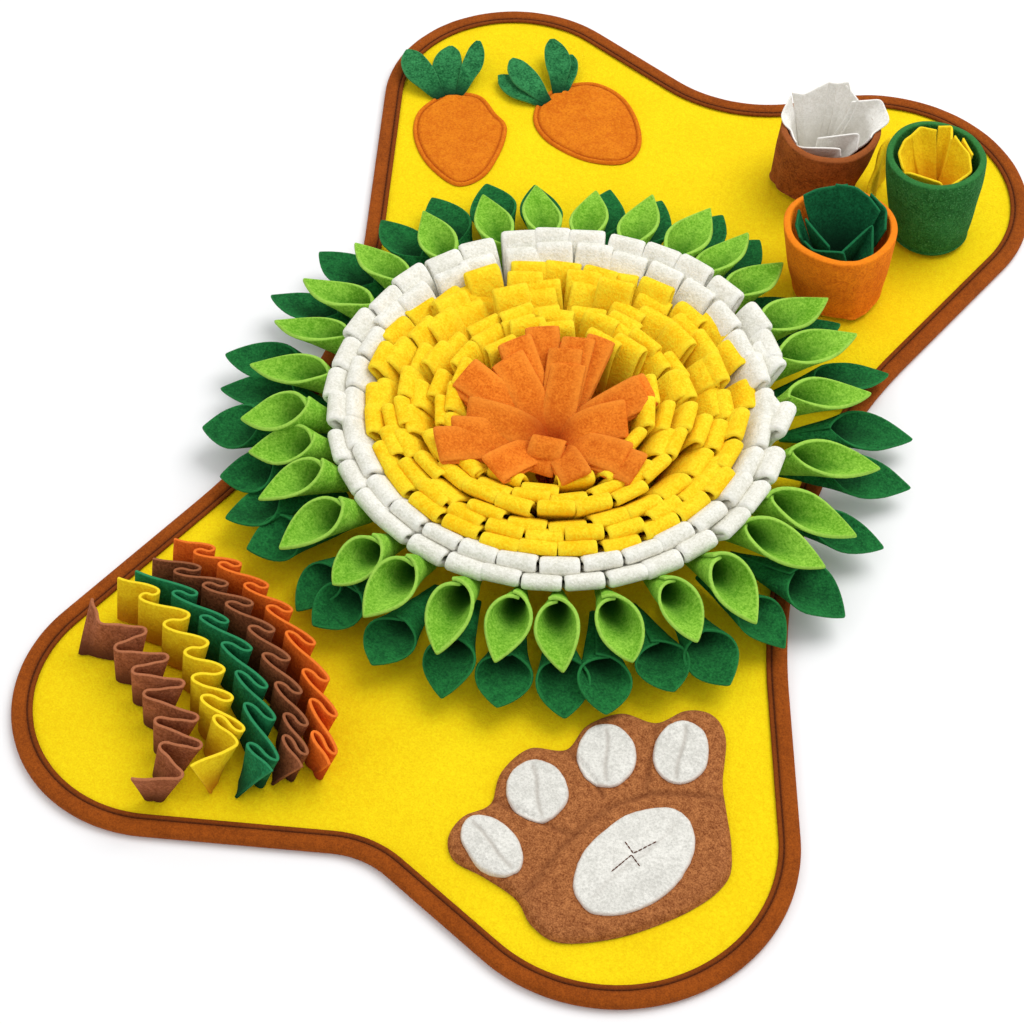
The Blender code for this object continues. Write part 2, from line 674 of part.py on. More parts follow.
def pulled_in(loop, inset):
    """The loop moved inwards along its normals, for a loop that runs clockwise."""
    count = len(loop)
    moved = []
    for i, spot in enumerate(loop):
        run = (loop[(i + 1) % count] - loop[i - 1]).normalized()
        moved.append(spot + inset * Vector((run.y, -run.x)))
    return moved


def flat_patch(name, loop, floor, thickness, edge, colour):
    """A felt patch with a rounded upper edge."""
    rings = (
        # inset, height
        (0.0, floor),
        (0.0, floor + 0.5 * thickness),
        (edge, floor + thickness),
    )
    points = []
    for inset, height in rings:
        points += [(p.x, p.y, height) for p in pulled_in(loop, inset)]
    size = len(loop)
    faces = ring_faces(3, size) + [tuple(range(size)), tuple(range(2 * size, 3 * size))]
    add_piece(name, points, faces, colour)


def oval(x, y, half_length, half_width, turn, sides=20):
    """A clockwise oval, a little blunter than an ellipse."""
    direction = Vector((math.cos(math.radians(turn)), math.sin(math.radians(turn))))
    across = Vector((direction.y, -direction.x))
    loop = []
    for i in range(sides):
        angle = math.tau * i / sides
        loop.append(
            Vector((x, y)) + half_length * math.cos(angle) * direction + half_width * math.sin(angle) * across
        )
    return loop


def carrots():
    for name, corners in CARROT_EDGES.items():
        flat_patch(name, smooth_loop(corners, 2), SEWN_ON, CARROT_THICKNESS, 0.0008, "orange")


def paw():
    flat_patch("paw", smooth_loop(PAW_EDGE, 2), SEWN_ON, PAW_THICKNESS, 0.0030, "paw brown")
    floor = SEWN_ON + PAW_THICKNESS + GAP
    for name, x, y, half_length, half_width, turn in PADS:
        loop = oval(x, y, half_length, half_width, turn)
        flat_patch(name, loop, floor, PAD_THICKNESS, 0.0006, "white")


def carrot_leaf(name, root_x, root_y, tip_x, tip_y, width, tip_height, layer):
    """A pointed oval of felt that rises from its sewn root to its tip."""
    root, tip = Vector((root_x, root_y)), Vector((tip_x, tip_y))
    along = (tip - root).normalized()
    across = Vector((-along.y, along.x))
    floor = SEWN_ON + CARROT_THICKNESS + GAP + layer * (FELT + 2 * GAP)
    points = []
    for share in LEAF_STATIONS:
        half = 0.5 * width * max(math.sin(math.pi * share ** 0.85) ** 0.7, 0.16)
        spot = root + share * (tip - root)
        height = floor + (tip_height - floor) * share ** 1.3
        for side, lift in ((-1, 0.0), (1, 0.0), (1, FELT), (-1, FELT)):
            corner = spot + side * half * across
            points.append((corner.x, corner.y, height + lift))
    count = len(LEAF_STATIONS)
    faces = ring_faces(count, 4) + [(0, 1, 2, 3), tuple(range(4 * count - 4, 4 * count))]
    add_piece(name, points, faces, "leaf green")


def build():
    clear_scene()
    chance = random.Random(SEED)
    base_panel()
    binding()
    for row in LEAF_RINGS:
        leaf_ring(*row)
    for row in STRIP_RINGS:
        strip_ring(*row, chance)
    tuft_strips("orange_strips_outer", TUFT_OUTER_ROOT, TUFT_OUTER)
    tuft_strips("orange_strips_inner", TUFT_INNER_ROOT, TUFT_INNER)
    cups_and_fillings()
    tab()
    for row in RUFFLES:
        ruffle(*row)
    carrots()
    for row in LEAVES:
        carrot_leaf(*row)
    paw()


build()
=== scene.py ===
# Looks for a bone-shaped fleece mat with a felt flower, cups, ruffles, a paw and carrots.
# Everything is in metres in the frame's own axes: +Y along the mat, +X towards the cups, +Z up.
import json
import math
import random

import bpy
import numpy as np
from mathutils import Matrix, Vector, noise

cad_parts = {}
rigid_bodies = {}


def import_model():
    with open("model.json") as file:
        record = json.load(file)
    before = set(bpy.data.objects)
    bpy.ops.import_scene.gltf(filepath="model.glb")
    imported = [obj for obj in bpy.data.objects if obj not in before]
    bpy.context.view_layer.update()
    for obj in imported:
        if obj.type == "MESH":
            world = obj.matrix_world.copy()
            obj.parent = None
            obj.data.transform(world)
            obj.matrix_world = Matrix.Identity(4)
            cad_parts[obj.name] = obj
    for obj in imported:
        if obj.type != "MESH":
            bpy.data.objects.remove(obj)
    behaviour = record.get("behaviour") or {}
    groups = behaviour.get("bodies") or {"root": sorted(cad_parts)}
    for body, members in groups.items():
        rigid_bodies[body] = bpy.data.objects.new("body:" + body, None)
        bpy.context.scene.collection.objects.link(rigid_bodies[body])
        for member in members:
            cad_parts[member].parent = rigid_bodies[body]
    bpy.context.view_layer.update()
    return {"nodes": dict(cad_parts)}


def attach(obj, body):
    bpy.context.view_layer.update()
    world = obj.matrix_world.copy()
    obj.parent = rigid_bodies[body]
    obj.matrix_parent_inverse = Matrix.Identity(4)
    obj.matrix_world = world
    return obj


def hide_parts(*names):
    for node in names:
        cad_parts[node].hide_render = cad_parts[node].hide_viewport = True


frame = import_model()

mat = {
    "panelTop": 0.0045,      # height of the fleece
    "sewnOn": 0.0048,        # height at which everything sewn on begins
    "flower": (0.002, -0.017),
}
scene = bpy.context.scene


def linear(colour):
    # 0-255 screen colour to the shader's linear values
    values = [c / 255 for c in colour]
    return tuple(v / 12.92 if v <= 0.04045 else ((v + 0.055) / 1.055) ** 2.4 for v in values) + (1.0,)


def smoothStep(low, high, value):
    share = np.clip((value - low) / (high - low), 0, 1)
    return share * share * (3 - 2 * share)


def wave(point, size, seed=0.0):
    # smooth noise from -1 to 1 at a length in metres
    return noise.noise(Vector(point) / size + Vector((seed * 7.1, seed * 3.3, seed)))


def unit(vectors):
    return vectors / np.maximum(np.linalg.norm(vectors, axis=-1, keepdims=True), 1e-9)


def nodeOf(name):
    # the solid's name for a piece: yellowStrips1 is yellow_strips_1
    return "".join("_" + c.lower() if c.isupper() or c.isdigit() else c for c in name)


def heading(degrees):
    # the direction at an angle on the mat, and the one to its left
    x, y = math.cos(math.radians(degrees)), math.sin(math.radians(degrees))
    return np.array([x, y]), np.array([-y, x])


def runsAndSides(line):
    # directions along a flat line of points, and to its left
    run = unit(np.gradient(line, axis=0))
    return run, np.stack([-run[:, 1], run[:, 0]], axis=1)


def closedLine(loop):
    return np.concatenate([loop, loop[:1]])


def alongLine(line):
    # the length of a line of points up to each of them
    return np.concatenate([[0], np.cumsum(np.linalg.norm(np.diff(line, axis=0), axis=1))])


def evenly(line, count, endpoint=True):
    # the same line in equal steps
    along = alongLine(line)
    wanted = np.linspace(0, along[-1], count, endpoint=endpoint)
    return np.stack([np.interp(wanted, along, column) for column in line.T], axis=1)


def smoothRun(a, b, c, d, steps):
    # a smooth curve from b up to c, between a and d
    return [0.5 * (2 * b + (c - a) * t + (2 * a - 5 * b + 4 * c - d) * t * t
                   + (3 * b - a - 3 * c + d) * t ** 3) for t in (step / steps for step in range(steps))]


def curveThrough(points, count):
    # an even smooth line through a few points
    points = np.array(points, float)
    ends = [2 * points[0] - points[1], *points, 2 * points[-1] - points[-2]]
    line = [spot for i in range(len(points) - 1) for spot in smoothRun(*ends[i:i + 4], 8)]
    return evenly(np.array(line + [points[-1]]), count)


def smoothLoop(corners, steps):
    # a closed smooth line through a few corners
    spots = np.array(corners, float)
    count = len(spots)
    return np.array([spot for i in range(count)
                     for spot in smoothRun(*(spots[(i + k) % count] for k in (-1, 0, 1, 2)), steps)])


def drawn(chance, form, *keys):
    # a random value from each of a form's ranges, in the order of the keys
    return [chance.uniform(*form[key]) for key in keys]


def ringFaces(rows, size):
    # faces between closed rings of points that follow one another
    return [(i * size + j, i * size + (j + 1) % size, (i + 1) * size + (j + 1) % size, (i + 1) * size + j)
            for i in range(rows - 1) for j in range(size)]


# points gather with three marks: a painted highlight on edges, painted shade in hollows and folds, and a tone
# that differs at random
def newBatch():
    return {"points": [], "faces": [], "rim": [], "deep": [], "tone": []}


def addPoints(batch, points, faces, rim=0.0, deep=0.0, tone=0.5):
    start, count = len(batch["points"]), len(points)
    batch["points"].extend([tuple(p) for p in points])
    batch["faces"].extend([tuple(start + i for i in face) for face in faces])
    for key, value in (("rim", rim), ("deep", deep), ("tone", tone)):
        batch[key].extend([float(value)] * count if np.isscalar(value) else [float(v) for v in value])


def addCloth(batch, grid, thick, deep=None, tone=0.5, edge=0.0012, closed=False, outer=0.0):
    # cloth round a grid of points, its outer side where rows x columns point: two sides and a rim;
    # the fourth argument says for each row how much painted shade it gets
    grid = np.asarray(grid, float)
    deep = np.zeros(len(grid)) if deep is None else deep
    full = np.concatenate([grid, np.tile(deep, (grid.shape[1], 1)).T[..., None]], axis=2)
    if edge and not closed:
        full = withEdges(full, edge)
    grid, deep = full[..., :3], full[..., 3]
    rows, cols = grid.shape[:2]
    if closed:                                     # columns run round and meet
        wrapped = np.concatenate([grid[:, -1:], grid, grid[:, :1]], axis=1)
        across = wrapped[:, 2:] - wrapped[:, :-2]
    else:
        across = np.gradient(grid, axis=1)
    half = unit(np.cross(np.gradient(grid, axis=0), across)) * thick / 2
    points = np.concatenate([(grid + half).reshape(-1, 3), (grid - half).reshape(-1, 3)])
    size, last = rows * cols, (rows - 1) * cols
    faces = []
    for j in range(cols if closed else cols - 1):
        k = (j + 1) % cols
        for i in range(0, last, cols):
            a, b = i + j, i + k
            faces.append((a, a + cols, b + cols, b))
            faces.append((size + a, size + b, size + b + cols, size + a + cols))
        faces.append((j, k, size + k, size + j))
        faces.append((last + k, last + j, size + last + j, size + last + k))
    # the edges get the painted highlight
    rim = np.zeros((rows, cols))
    rim[0], rim[-1] = 1, 1
    if not closed:
        for a in range(0, last, cols):
            b = a + cols
            faces.append((a, size + a, size + b, b))
            faces.append((b - 1, b + cols - 1, size + b + cols - 1, size + b - 1))
        rim[:, 0], rim[:, -1] = 1, 1
    # the outer side gets less of the painted shade
    paintedShades = np.concatenate([outer * deep.reshape(-1), deep.reshape(-1)])
    addPoints(batch, points, faces, np.tile(rim.reshape(-1), 2), paintedShades, tone)


def withEdges(full, edge):
    # narrow rows and columns at the edges keep them crisp; each point carries its depth as a fourth value
    def widen(rows):
        def near(a, b):
            length = np.linalg.norm(b[..., :3] - a[..., :3], axis=-1, keepdims=True)
            return a + (b - a) * np.minimum(edge / np.maximum(length, 1e-6), 0.45)
        return np.concatenate([rows[:1], near(rows[0], rows[1])[None], rows[1:-1],
                               near(rows[-1], rows[-2])[None], rows[-1:]])
    return np.swapaxes(widen(np.swapaxes(widen(full), 0, 1)), 0, 1)


def meshFrom(name, batch):
    mesh = bpy.data.meshes.new(name)
    mesh.from_pydata(batch["points"], [], batch["faces"])
    for key in ("rim", "deep", "tone"):
        mesh.attributes.new(key, "FLOAT", "POINT").data.foreach_set("value", np.array(batch[key], np.float32))
    mesh.update()
    mesh.shade_smooth()
    return mesh


def makePiece(name, batch, felt, nodes, rounding=1):
    # one piece of the mat from gathered points: on the body, with its felt and the solids it stands for
    return finishPiece(bpy.data.objects.new(name, meshFrom(name, batch)), felts[felt], nodes, rounding)


def finishPiece(piece, material, nodes, rounding=1):
    scene.collection.objects.link(piece)
    piece.data.materials.clear()
    piece.data.materials.append(material)
    if rounding:
        modifier = piece.modifiers.new("rounding", "SUBSURF")
        modifier.levels = modifier.render_levels = rounding
    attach(piece, "root")
    if nodes:
        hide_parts(*nodes)
    return piece


def addNode(tree, kind, values=None, **settings):
    # a node with its settings; each input gets a plain value or another node's output
    node = tree.nodes.new(kind)
    for key, value in settings.items():
        setattr(node, key, value)
    for key, value in (values or {}).items():
        if isinstance(value, bpy.types.NodeSocket):
            tree.links.new(value, node.inputs[key])
        else:
            node.inputs[key].default_value = value
    return node


def feltMaterial(name, dark, light, rim=None, deep=None, fleck=None, grain=640.0, blotch=42.0, pile=0.0008,
                 lump=0.0006, contrast=1.5):
    # felted cloth: mottled colour, short fibres, a painted highlight on the edges and painted shade in
    # hollows and folds
    middles = [(a + b) / 2 for a, b in zip(dark, light)]
    dark, light = ([min(255, max(0, m + contrast * (c - m))) for c, m in zip(pair, middles)]
                   for pair in (dark, light))
    material = bpy.data.materials.new(name)
    material.use_nodes = True
    tree = material.node_tree
    shader = tree.nodes["Principled BSDF"]
    shading = {"Roughness": 0.92, "Specular IOR Level": 0.18, "Sheen Weight": 0.2, "Sheen Roughness": 0.5,
               "Sheen Tint": linear(light)}
    for key, value in shading.items():
        shader.inputs[key].default_value = value
    place = addNode(tree, "ShaderNodeTexCoord").outputs["Object"]

    def noiseOf(scale, detail=3.0, rough=0.6):
        values = {"Vector": place, "Scale": scale, "Detail": detail, "Roughness": rough}
        return addNode(tree, "ShaderNodeTexNoise", values).outputs["Fac"]

    def sums(a, b, kind="ADD"):
        return addNode(tree, "ShaderNodeMath", {0: a, 1: b}, operation=kind).outputs[0]

    def spread(value, low, high, bottom=0.0, top=1.0):
        values = {"Value": value, "From Min": low, "From Max": high, "To Min": bottom, "To Max": top}
        return addNode(tree, "ShaderNodeMapRange", values).outputs["Result"]

    def mixed(share, first, second):
        values = {"Factor": share, 6: first, 7: second}
        return addNode(tree, "ShaderNodeMix", values, data_type="RGBA").outputs[2]

    def mark(key):
        return addNode(tree, "ShaderNodeAttribute", attribute_name=key).outputs["Fac"]

    fibres = noiseOf(grain, rough=0.7)
    middle = noiseOf(grain * 0.3)
    mottle = sums(sums(middle, noiseOf(blotch)), 0.5, "MULTIPLY")
    share = spread(sums(sums(fibres, 1.25, "MULTIPLY"), mottle), 0.92, 1.36)
    colour = mixed(share, linear(dark), linear(light))
    if fleck:
        colour = mixed(spread(noiseOf(grain * 1.2, 2.0), 0.58, 0.7), colour, linear(fleck))
    # painted colour on the edges: a highlight on most felts
    if rim:
        colour = mixed(sums(mark("rim"), 0.6, "MULTIPLY"), colour, linear(rim))
    # painted shade: a darker colour where the cloth lies in hollows and folds
    if deep:
        colour = mixed(mark("deep"), colour, linear(deep))
    toned = addNode(tree, "ShaderNodeHueSaturation",
                    {"Value": spread(mark("tone"), 0.0, 1.0, 0.93, 1.07), "Color": colour})
    lumpy = addNode(tree, "ShaderNodeBump", {"Distance": lump, "Strength": 0.8, "Height": noiseOf(150.0)})
    hairy = addNode(tree, "ShaderNodeBump", {
        "Distance": pile, "Strength": 0.9, "Height": sums(fibres, middle), "Normal": lumpy.outputs["Normal"]})
    tree.links.new(toned.outputs["Color"], shader.inputs["Base Color"])
    tree.links.new(hairy.outputs["Normal"], shader.inputs["Normal"])
    return material


feltColours = {
    # 0-255 colours: dark and light of the mottle, the edges' colour (a painted highlight on most felts),
    # painted shade in hollows and folds, flecks; then what differs
    "yellowFleece": ((240, 202, 2), (252, 226, 14), None, None, None,
                     {"grain": 800, "blotch": 14, "pile": 0.0005, "contrast": 1.0}),
    "brownBinding": ((126, 58, 6), (162, 80, 16), None, (74, 30, 4), None,
                     {"grain": 1100, "pile": 0.0003, "lump": 0.0003, "contrast": 1.1}),
    "bindingThread": ((72, 30, 6), (92, 40, 10), None, None, None, {"grain": 2000, "pile": 0.0001}),
    "darkGreenFelt": ((10, 80, 36), (30, 116, 54), (42, 130, 66), (1, 40, 18), None, {"contrast": 1.3}),
    "lightGreenFelt": ((108, 170, 36), (148, 204, 66), (172, 216, 92), (24, 96, 6), None, {}),
    "whiteFleece": ((224, 222, 208), (248, 246, 236), (250, 249, 242), (196, 176, 128), None,
                    {"lump": 0.0009, "contrast": 1.2}),
    "yellowFelt": ((252, 198, 10), (255, 224, 38), (255, 230, 52), (236, 130, 4), None, {}),
    "orangeFelt": ((214, 104, 16), (240, 132, 34), (246, 148, 48), (170, 64, 8), None, {"contrast": 1.4}),
    "carrotFelt": ((210, 106, 8), (230, 130, 20), (222, 112, 12), (176, 78, 6), None, {"contrast": 1.4}),
    "carrotLeafFelt": ((22, 96, 50), (46, 128, 72), (74, 156, 96), (4, 50, 26), None, {"contrast": 2.0}),
    "brownCupFelt": ((122, 60, 20), (154, 82, 34), (160, 88, 42), (80, 36, 12), None,
                     {"grain": 700, "contrast": 2.0}),
    "heatherGreenFelt": ((20, 84, 28), (44, 114, 50), (54, 124, 60), (10, 56, 20), (80, 142, 84),
                         {"grain": 700}),
    "orangeCupFelt": ((222, 108, 8), (246, 136, 18), (248, 140, 26), (164, 68, 6), None,
                      {"grain": 700, "contrast": 1.6}),
    "whiteFillingFelt": ((228, 225, 216), (250, 248, 242), (252, 250, 244), (214, 210, 200), None,
                         {"pile": 0.0003, "contrast": 1.0}),
    "yellowFillingFelt": ((238, 192, 10), (252, 216, 24), (255, 222, 40), (208, 138, 4), None, {}),
    "greenFillingFelt": ((4, 76, 42), (16, 104, 60), (28, 116, 70), (2, 44, 24), None, {}),
    "tanFelt": ((138, 76, 44), (174, 104, 68), (186, 118, 80), (84, 42, 22), None, {}),
    "yellowRuffleFelt": ((238, 196, 10), (252, 220, 28), (255, 226, 48), (200, 130, 8), None, {}),
    "greenRuffleFelt": ((14, 94, 52), (30, 124, 74), (52, 146, 96), (4, 60, 34), None, {}),
    "brownRuffleFelt": ((108, 56, 28), (146, 84, 50), (166, 104, 68), (62, 30, 16), None, {}),
    "orangeRuffleFelt": ((216, 90, 16), (238, 114, 32), (242, 128, 46), (160, 56, 10), None, {}),
    "pawFleece": ((142, 80, 40), (182, 114, 64), None, (104, 54, 28), None,
                  {"grain": 950, "blotch": 260, "pile": 0.0009, "lump": 0.001, "contrast": 1.8}),
    # the pads' edges are painted darker and pinker than their middles
    "padFelt": ((212, 210, 202), (236, 234, 226), (206, 182, 166), (176, 168, 158), None, {}),
    "carrotThread": ((186, 84, 6), (204, 98, 10), None, None, None, {"grain": 2000, "pile": 0.0001}),
    "darkThread": ((70, 36, 20), (92, 50, 30), None, None, None, {"grain": 2000, "pile": 0.0001}),
}
felts = {name: feltMaterial(name, *row[:5], **row[5]) for name, row in feltColours.items()}
print("materials", len(felts))


def plantTree():
    # points that carry turn, size and kind each get one of the collection's shapes
    tree = bpy.data.node_groups.new("setOut", "GeometryNodeTree")
    sockets = {"Geometry": "Geometry", "Shapes": "Collection", "Seed": "Int", "Wobble": "Float",
               "Wobble size": "Float", "Felt": "Material"}
    for label, kind in sockets.items():
        tree.interface.new_socket(label, in_out="INPUT", socket_type="NodeSocket" + kind)
    tree.interface.new_socket("Geometry", in_out="OUTPUT", socket_type="NodeSocketGeometry")
    given = addNode(tree, "NodeGroupInput").outputs

    def carried(key, kind):
        node = addNode(tree, "GeometryNodeInputNamedAttribute", {"Name": key}, data_type=kind)
        return node.outputs["Attribute"]

    shapes = addNode(tree, "GeometryNodeCollectionInfo",
                     {"Collection": given["Shapes"], "Separate Children": True, "Reset Children": True})
    turn = addNode(tree, "FunctionNodeEulerToRotation", {0: carried("turn", "FLOAT_VECTOR")})
    placed = addNode(tree, "GeometryNodeInstanceOnPoints", {
        "Points": given["Geometry"], "Instance": shapes.outputs[0], "Pick Instance": True,
        "Instance Index": carried("kind", "INT"), "Rotation": turn.outputs[0],
        "Scale": carried("size", "FLOAT_VECTOR")})
    chance = addNode(tree, "FunctionNodeRandomValue", {"Seed": given["Seed"]})
    tone = addNode(tree, "GeometryNodeStoreNamedAttribute",
                   {"Geometry": placed.outputs[0], "Name": "tone", "Value": chance.outputs[1]},
                   domain="INSTANCE", data_type="FLOAT")
    real = addNode(tree, "GeometryNodeRealizeInstances", {0: tone.outputs[0]})
    position = addNode(tree, "GeometryNodeInputPosition")
    ripple = addNode(tree, "ShaderNodeTexNoise",
                     {"Vector": position.outputs[0], "Scale": given["Wobble size"], "Detail": 1.0})
    centred = addNode(tree, "ShaderNodeVectorMath", {0: ripple.outputs["Color"], 1: (0.5, 0.5, 0.5)},
                      operation="SUBTRACT")
    shift = addNode(tree, "ShaderNodeVectorMath", {0: centred.outputs[0], "Scale": given["Wobble"]},
                    operation="SCALE")
    moved = addNode(tree, "GeometryNodeSetPosition",
                    {"Geometry": real.outputs[0], "Offset": shift.outputs[0]})
    painted = addNode(tree, "GeometryNodeSetMaterial",
                      {"Geometry": moved.outputs[0], "Material": given["Felt"]})
    addNode(tree, "NodeGroupOutput", {0: painted.outputs[0]})
    return tree


setOutTree = plantTree()


def setOut(name, shapes, places, felt, nodes, seed=1, wobble=0.0, wobbleSize=60.0, rounding=1):
    # places: (point, turn, size, kind) for each copy of one of the shapes
    shelf = bpy.data.collections.new(name + "Shapes")
    for number, batch in enumerate(shapes):
        shelf.objects.link(bpy.data.objects.new(f"{name}Shape{number:02d}", meshFrom(name, batch)))
    points, turns, sizes, kinds = zip(*places)
    spots = bpy.data.meshes.new(name + "Spots")
    spots.from_pydata([tuple(point) for point in points], [], [])
    for key, rows in (("turn", turns), ("size", sizes)):
        data = spots.attributes.new(key, "FLOAT_VECTOR", "POINT").data
        data.foreach_set("vector", np.array(rows, np.float32).reshape(-1))
    spots.attributes.new("kind", "INT", "POINT").data.foreach_set("value", np.array(kinds, np.int32))
    maker = bpy.data.objects.new(name + "Maker", spots)
    scene.collection.objects.link(maker)
    modifier = maker.modifiers.new("setOut", "NODES")
    modifier.node_group = setOutTree
    values = {"Shapes": shelf, "Seed": seed, "Wobble": wobble, "Wobble size": wobbleSize, "Felt": felts[felt]}
    for item in setOutTree.interface.items_tree:
        if item.in_out == "INPUT" and item.name in values:
            modifier[item.identifier] = values[item.name]
    solid = bpy.data.meshes.new_from_object(maker.evaluated_get(bpy.context.evaluated_depsgraph_get()))
    solid.name = name
    solid.shade_smooth()
    piece = bpy.data.objects.new(name, solid)
    bpy.data.objects.remove(maker)
    for thing in list(shelf.objects):
        bpy.data.objects.remove(thing)
    bpy.data.collections.remove(shelf)
    return finishPiece(piece, felts[felt], nodes, rounding)


view = {
    "lens": 84.07, "distance": 1.5687, "elevation": 51.574, "azimuth": 20.93,
    "target": (-0.0057, -0.0813, 0.005),
}
lamp = {
    "key": (0.75, 1.05, 2.2), "keySize": 1.9, "keyPower": 37.0,
    "fill": (-1.6, -1.9, 1.9), "fillSize": 2.4, "fillPower": 8.0, "sky": 0.72,
}
paperSheet = {"half": 6.0, "level": -0.0002, "colour": (0.93, 0.93, 0.935, 1.0)}


def addCamera():
    data = bpy.data.cameras.new("camera")
    data.sensor_width = 36.0
    data.lens = view["lens"]
    data.clip_start = 0.05
    camera = bpy.data.objects.new("camera", data)
    scene.collection.objects.link(camera)
    up, turn = math.radians(view["elevation"]), math.radians(view["azimuth"])
    back = Vector((math.sin(turn) * math.cos(up), -math.cos(turn) * math.cos(up), math.sin(up)))
    camera.location = Vector(view["target"]) + view["distance"] * back
    camera.rotation_euler = back.to_track_quat("Z", "Y").to_euler()
    scene.camera = camera


def addLamp(name):
    data = bpy.data.lights.new(name, "AREA")
    data.shape = "DISK"
    data.size = lamp[name + "Size"]
    data.energy = lamp[name + "Power"]
    light = bpy.data.objects.new(name, data)
    scene.collection.objects.link(light)
    light.location = lamp[name]
    light.rotation_euler = Vector(lamp[name]).to_track_quat("Z", "Y").to_euler()


def addStudio():
    addLamp("key")
    addLamp("fill")
    world = bpy.data.worlds.new("studio")
    world.use_nodes = True
    world.node_tree.nodes["Background"].inputs["Color"].default_value = (1.0, 1.0, 1.0, 1.0)
    world.node_tree.nodes["Background"].inputs["Strength"].default_value = lamp["sky"]
    scene.world = world
    scene.view_settings.view_transform = "Standard"
    half, level = paperSheet["half"], paperSheet["level"]
    mesh = bpy.data.meshes.new("floor")
    mesh.from_pydata([(-half, -half, level), (half, -half, level), (half, half, level), (-half, half, level)],
                     [], [(0, 1, 2, 3)])
    floor = bpy.data.objects.new("floor", mesh)
    scene.collection.objects.link(floor)
    paper = bpy.data.materials.new("palePaper")
    paper.use_nodes = True
    shader = paper.node_tree.nodes["Principled BSDF"]
    shader.inputs["Base Color"].default_value = paperSheet["colour"]
    shader.inputs["Roughness"].default_value = 0.9
    shader.inputs["Specular IOR Level"].default_value = 0.1
    mesh.materials.append(paper)


addCamera()
addStudio()
print("camera, light and floor")


outlineArcs = (
    # centre x, centre y, radius: lobes and waists in turn, clockwise from the rear left lobe
    (-0.149, 0.297, 0.098), (0.0, 0.45, 0.1), (0.139, 0.29, 0.11), (0.602, -0.003, 0.424),
    (0.138, -0.289, 0.111), (0.0, -0.412, 0.056), (-0.15, -0.292, 0.099), (-0.602, -0.003, 0.424),
)


def outlineStations(spacing=0.0042):
    # points and outward normals round the mat's edge, about evenly spaced
    stations = []
    count = len(outlineArcs)
    for index, (x, y, radius) in enumerate(outlineArcs):
        centre = Vector((x, y))
        lobe = index % 2 == 0
        side = 1 if lobe else -1
        ends = []
        for other in (outlineArcs[index - 1], outlineArcs[(index + 1) % count]):
            across = Vector(other[:2]) - centre
            ends.append((math.atan2(across.y, across.x), math.acos((radius + other[2]) / across.length)))
        first, last = ends[0][0] - side * ends[0][1], ends[1][0] + side * ends[1][1]
        while side * (first - last) < 0:
            last -= side * math.tau
        while side * (first - last) > math.tau:
            last += side * math.tau
        steps = max(3, round(abs(last - first) * radius / spacing))
        for step in range(steps + 1):
            angle = first + (last - first) * step / steps
            out = Vector((math.cos(angle), math.sin(angle)))
            stations.append((centre + radius * out, side * out))
    return stations


edgePoints, edgeNormals = (np.array(row) for row in zip(*outlineStations()))


def lineDistance(points, line):
    # distance of many points from a broken line
    points = np.asarray(points, float)
    best = np.full(len(points), 1e9)
    for a, b in zip(line[:-1], line[1:]):
        run = b - a
        share = np.clip(((points - a) @ run) / max(run @ run, 1e-12), 0, 1)
        best = np.minimum(best, np.linalg.norm(points - (a + share[:, None] * run), axis=1))
    return best


def roundEdge(inside, width):
    # 0 at a shape's edge, rising like a quarter circle to 1 at a width inside it
    return np.sqrt(np.clip(1 - (1 - np.clip(inside / width, 0, 1)) ** 2, 0, 1))


def ripples(flat, *rows):
    # unevenness over many points, from rows of height, length and seed
    return np.array([sum(height * wave((x, y, 0), length, seed) for height, length, seed in rows)
                     for x, y in flat])


def addPatch(batch, loop, centre, rings, floor, heightOf, edgeRows, rimWidth=0.0016):
    # a shape laid on the mat: its upper side follows heightOf, its lower side lies at floor
    centre = np.asarray(centre, float)
    size = len(loop)
    shares = list(edgeRows) + list(np.linspace(edgeRows[-1], 0, rings + 1)[1:-1])
    flat = np.concatenate([centre + share * (loop - centre) for share in shares] + [centre[None]])
    inside = lineDistance(flat, closedLine(loop))
    # heightOf gives each point's height and its painted shade
    heights, paintedTopShades = heightOf(flat, inside)
    top = len(shares) * size                       # the middle of the upper side
    under = top + 1                                # the lower side's edge
    foot = under + size                            # the middle of the lower side
    lows = floor(np.concatenate([loop, centre[None]])) if callable(floor) else [floor] * (size + 1)
    points = [(x, y, z) for (x, y), z in zip(flat, heights)]
    points += [(x, y, z) for (x, y), z in zip([*loop, centre], lows)]
    faces = ringFaces(len(shares), size)
    for j in range(size):
        k = (j + 1) % size
        faces += [(top - size + j, top - size + k, top), (under + j, under + k, k, j),
                  (foot, under + k, under + j)]
    # the loops run clockwise, so the faces are turned over
    # the edge band gets the painted highlight
    rim = [*np.clip(1 - inside / rimWidth, 0, 1)] + [1.0] * size + [0.0]
    addPoints(batch, points, [face[::-1] for face in faces], rim, [*paintedTopShades] + [0.0] * (size + 1))


panel = {"inset": 0.0043, "rings": 46, "outerRing": 0.996, "lift": 0.00045, "edgeDrop": 0.0002,
         "sink": 0.0004, "columns": 300, "flat": (0.5, 0.8), "area": 0.3}


def panelTop(flat, inside):
    # gently uneven, and plain under the binding
    rise = ripples(flat, (panel["lift"], 0.055, 1), (0.5 * panel["lift"], 0.02, 2))
    rise[:2 * panel["columns"]] = -panel["edgeDrop"]
    rise[-1] = 0.0
    return np.minimum(mat["panelTop"] - panel["sink"] + rise, mat["panelTop"] + 0.0002), np.zeros(len(flat))


def addPanel():
    batch = newBatch()
    edge = evenly(closedLine(edgePoints - panel["inset"] * edgeNormals), panel["columns"], endpoint=False)
    addPatch(batch, edge, (0.0, 0.0), panel["rings"], 0.0, panelTop, (1.0, panel["outerRing"]))
    piece = makePiece("fleecePanel", batch, "yellowFleece", ["base_panel"], 0)


bindingSizes = {"width": 0.0134, "under": 0.0048, "turn": 0.004, "seamFromInside": 0.0033, "uneven": 0.00025,
                "flatWidth": 0.022, "stitchStep": 0.0035, "stitchLength": 0.0034, "stitchThick": 0.0009,
                "stitchHeight": 0.00615}


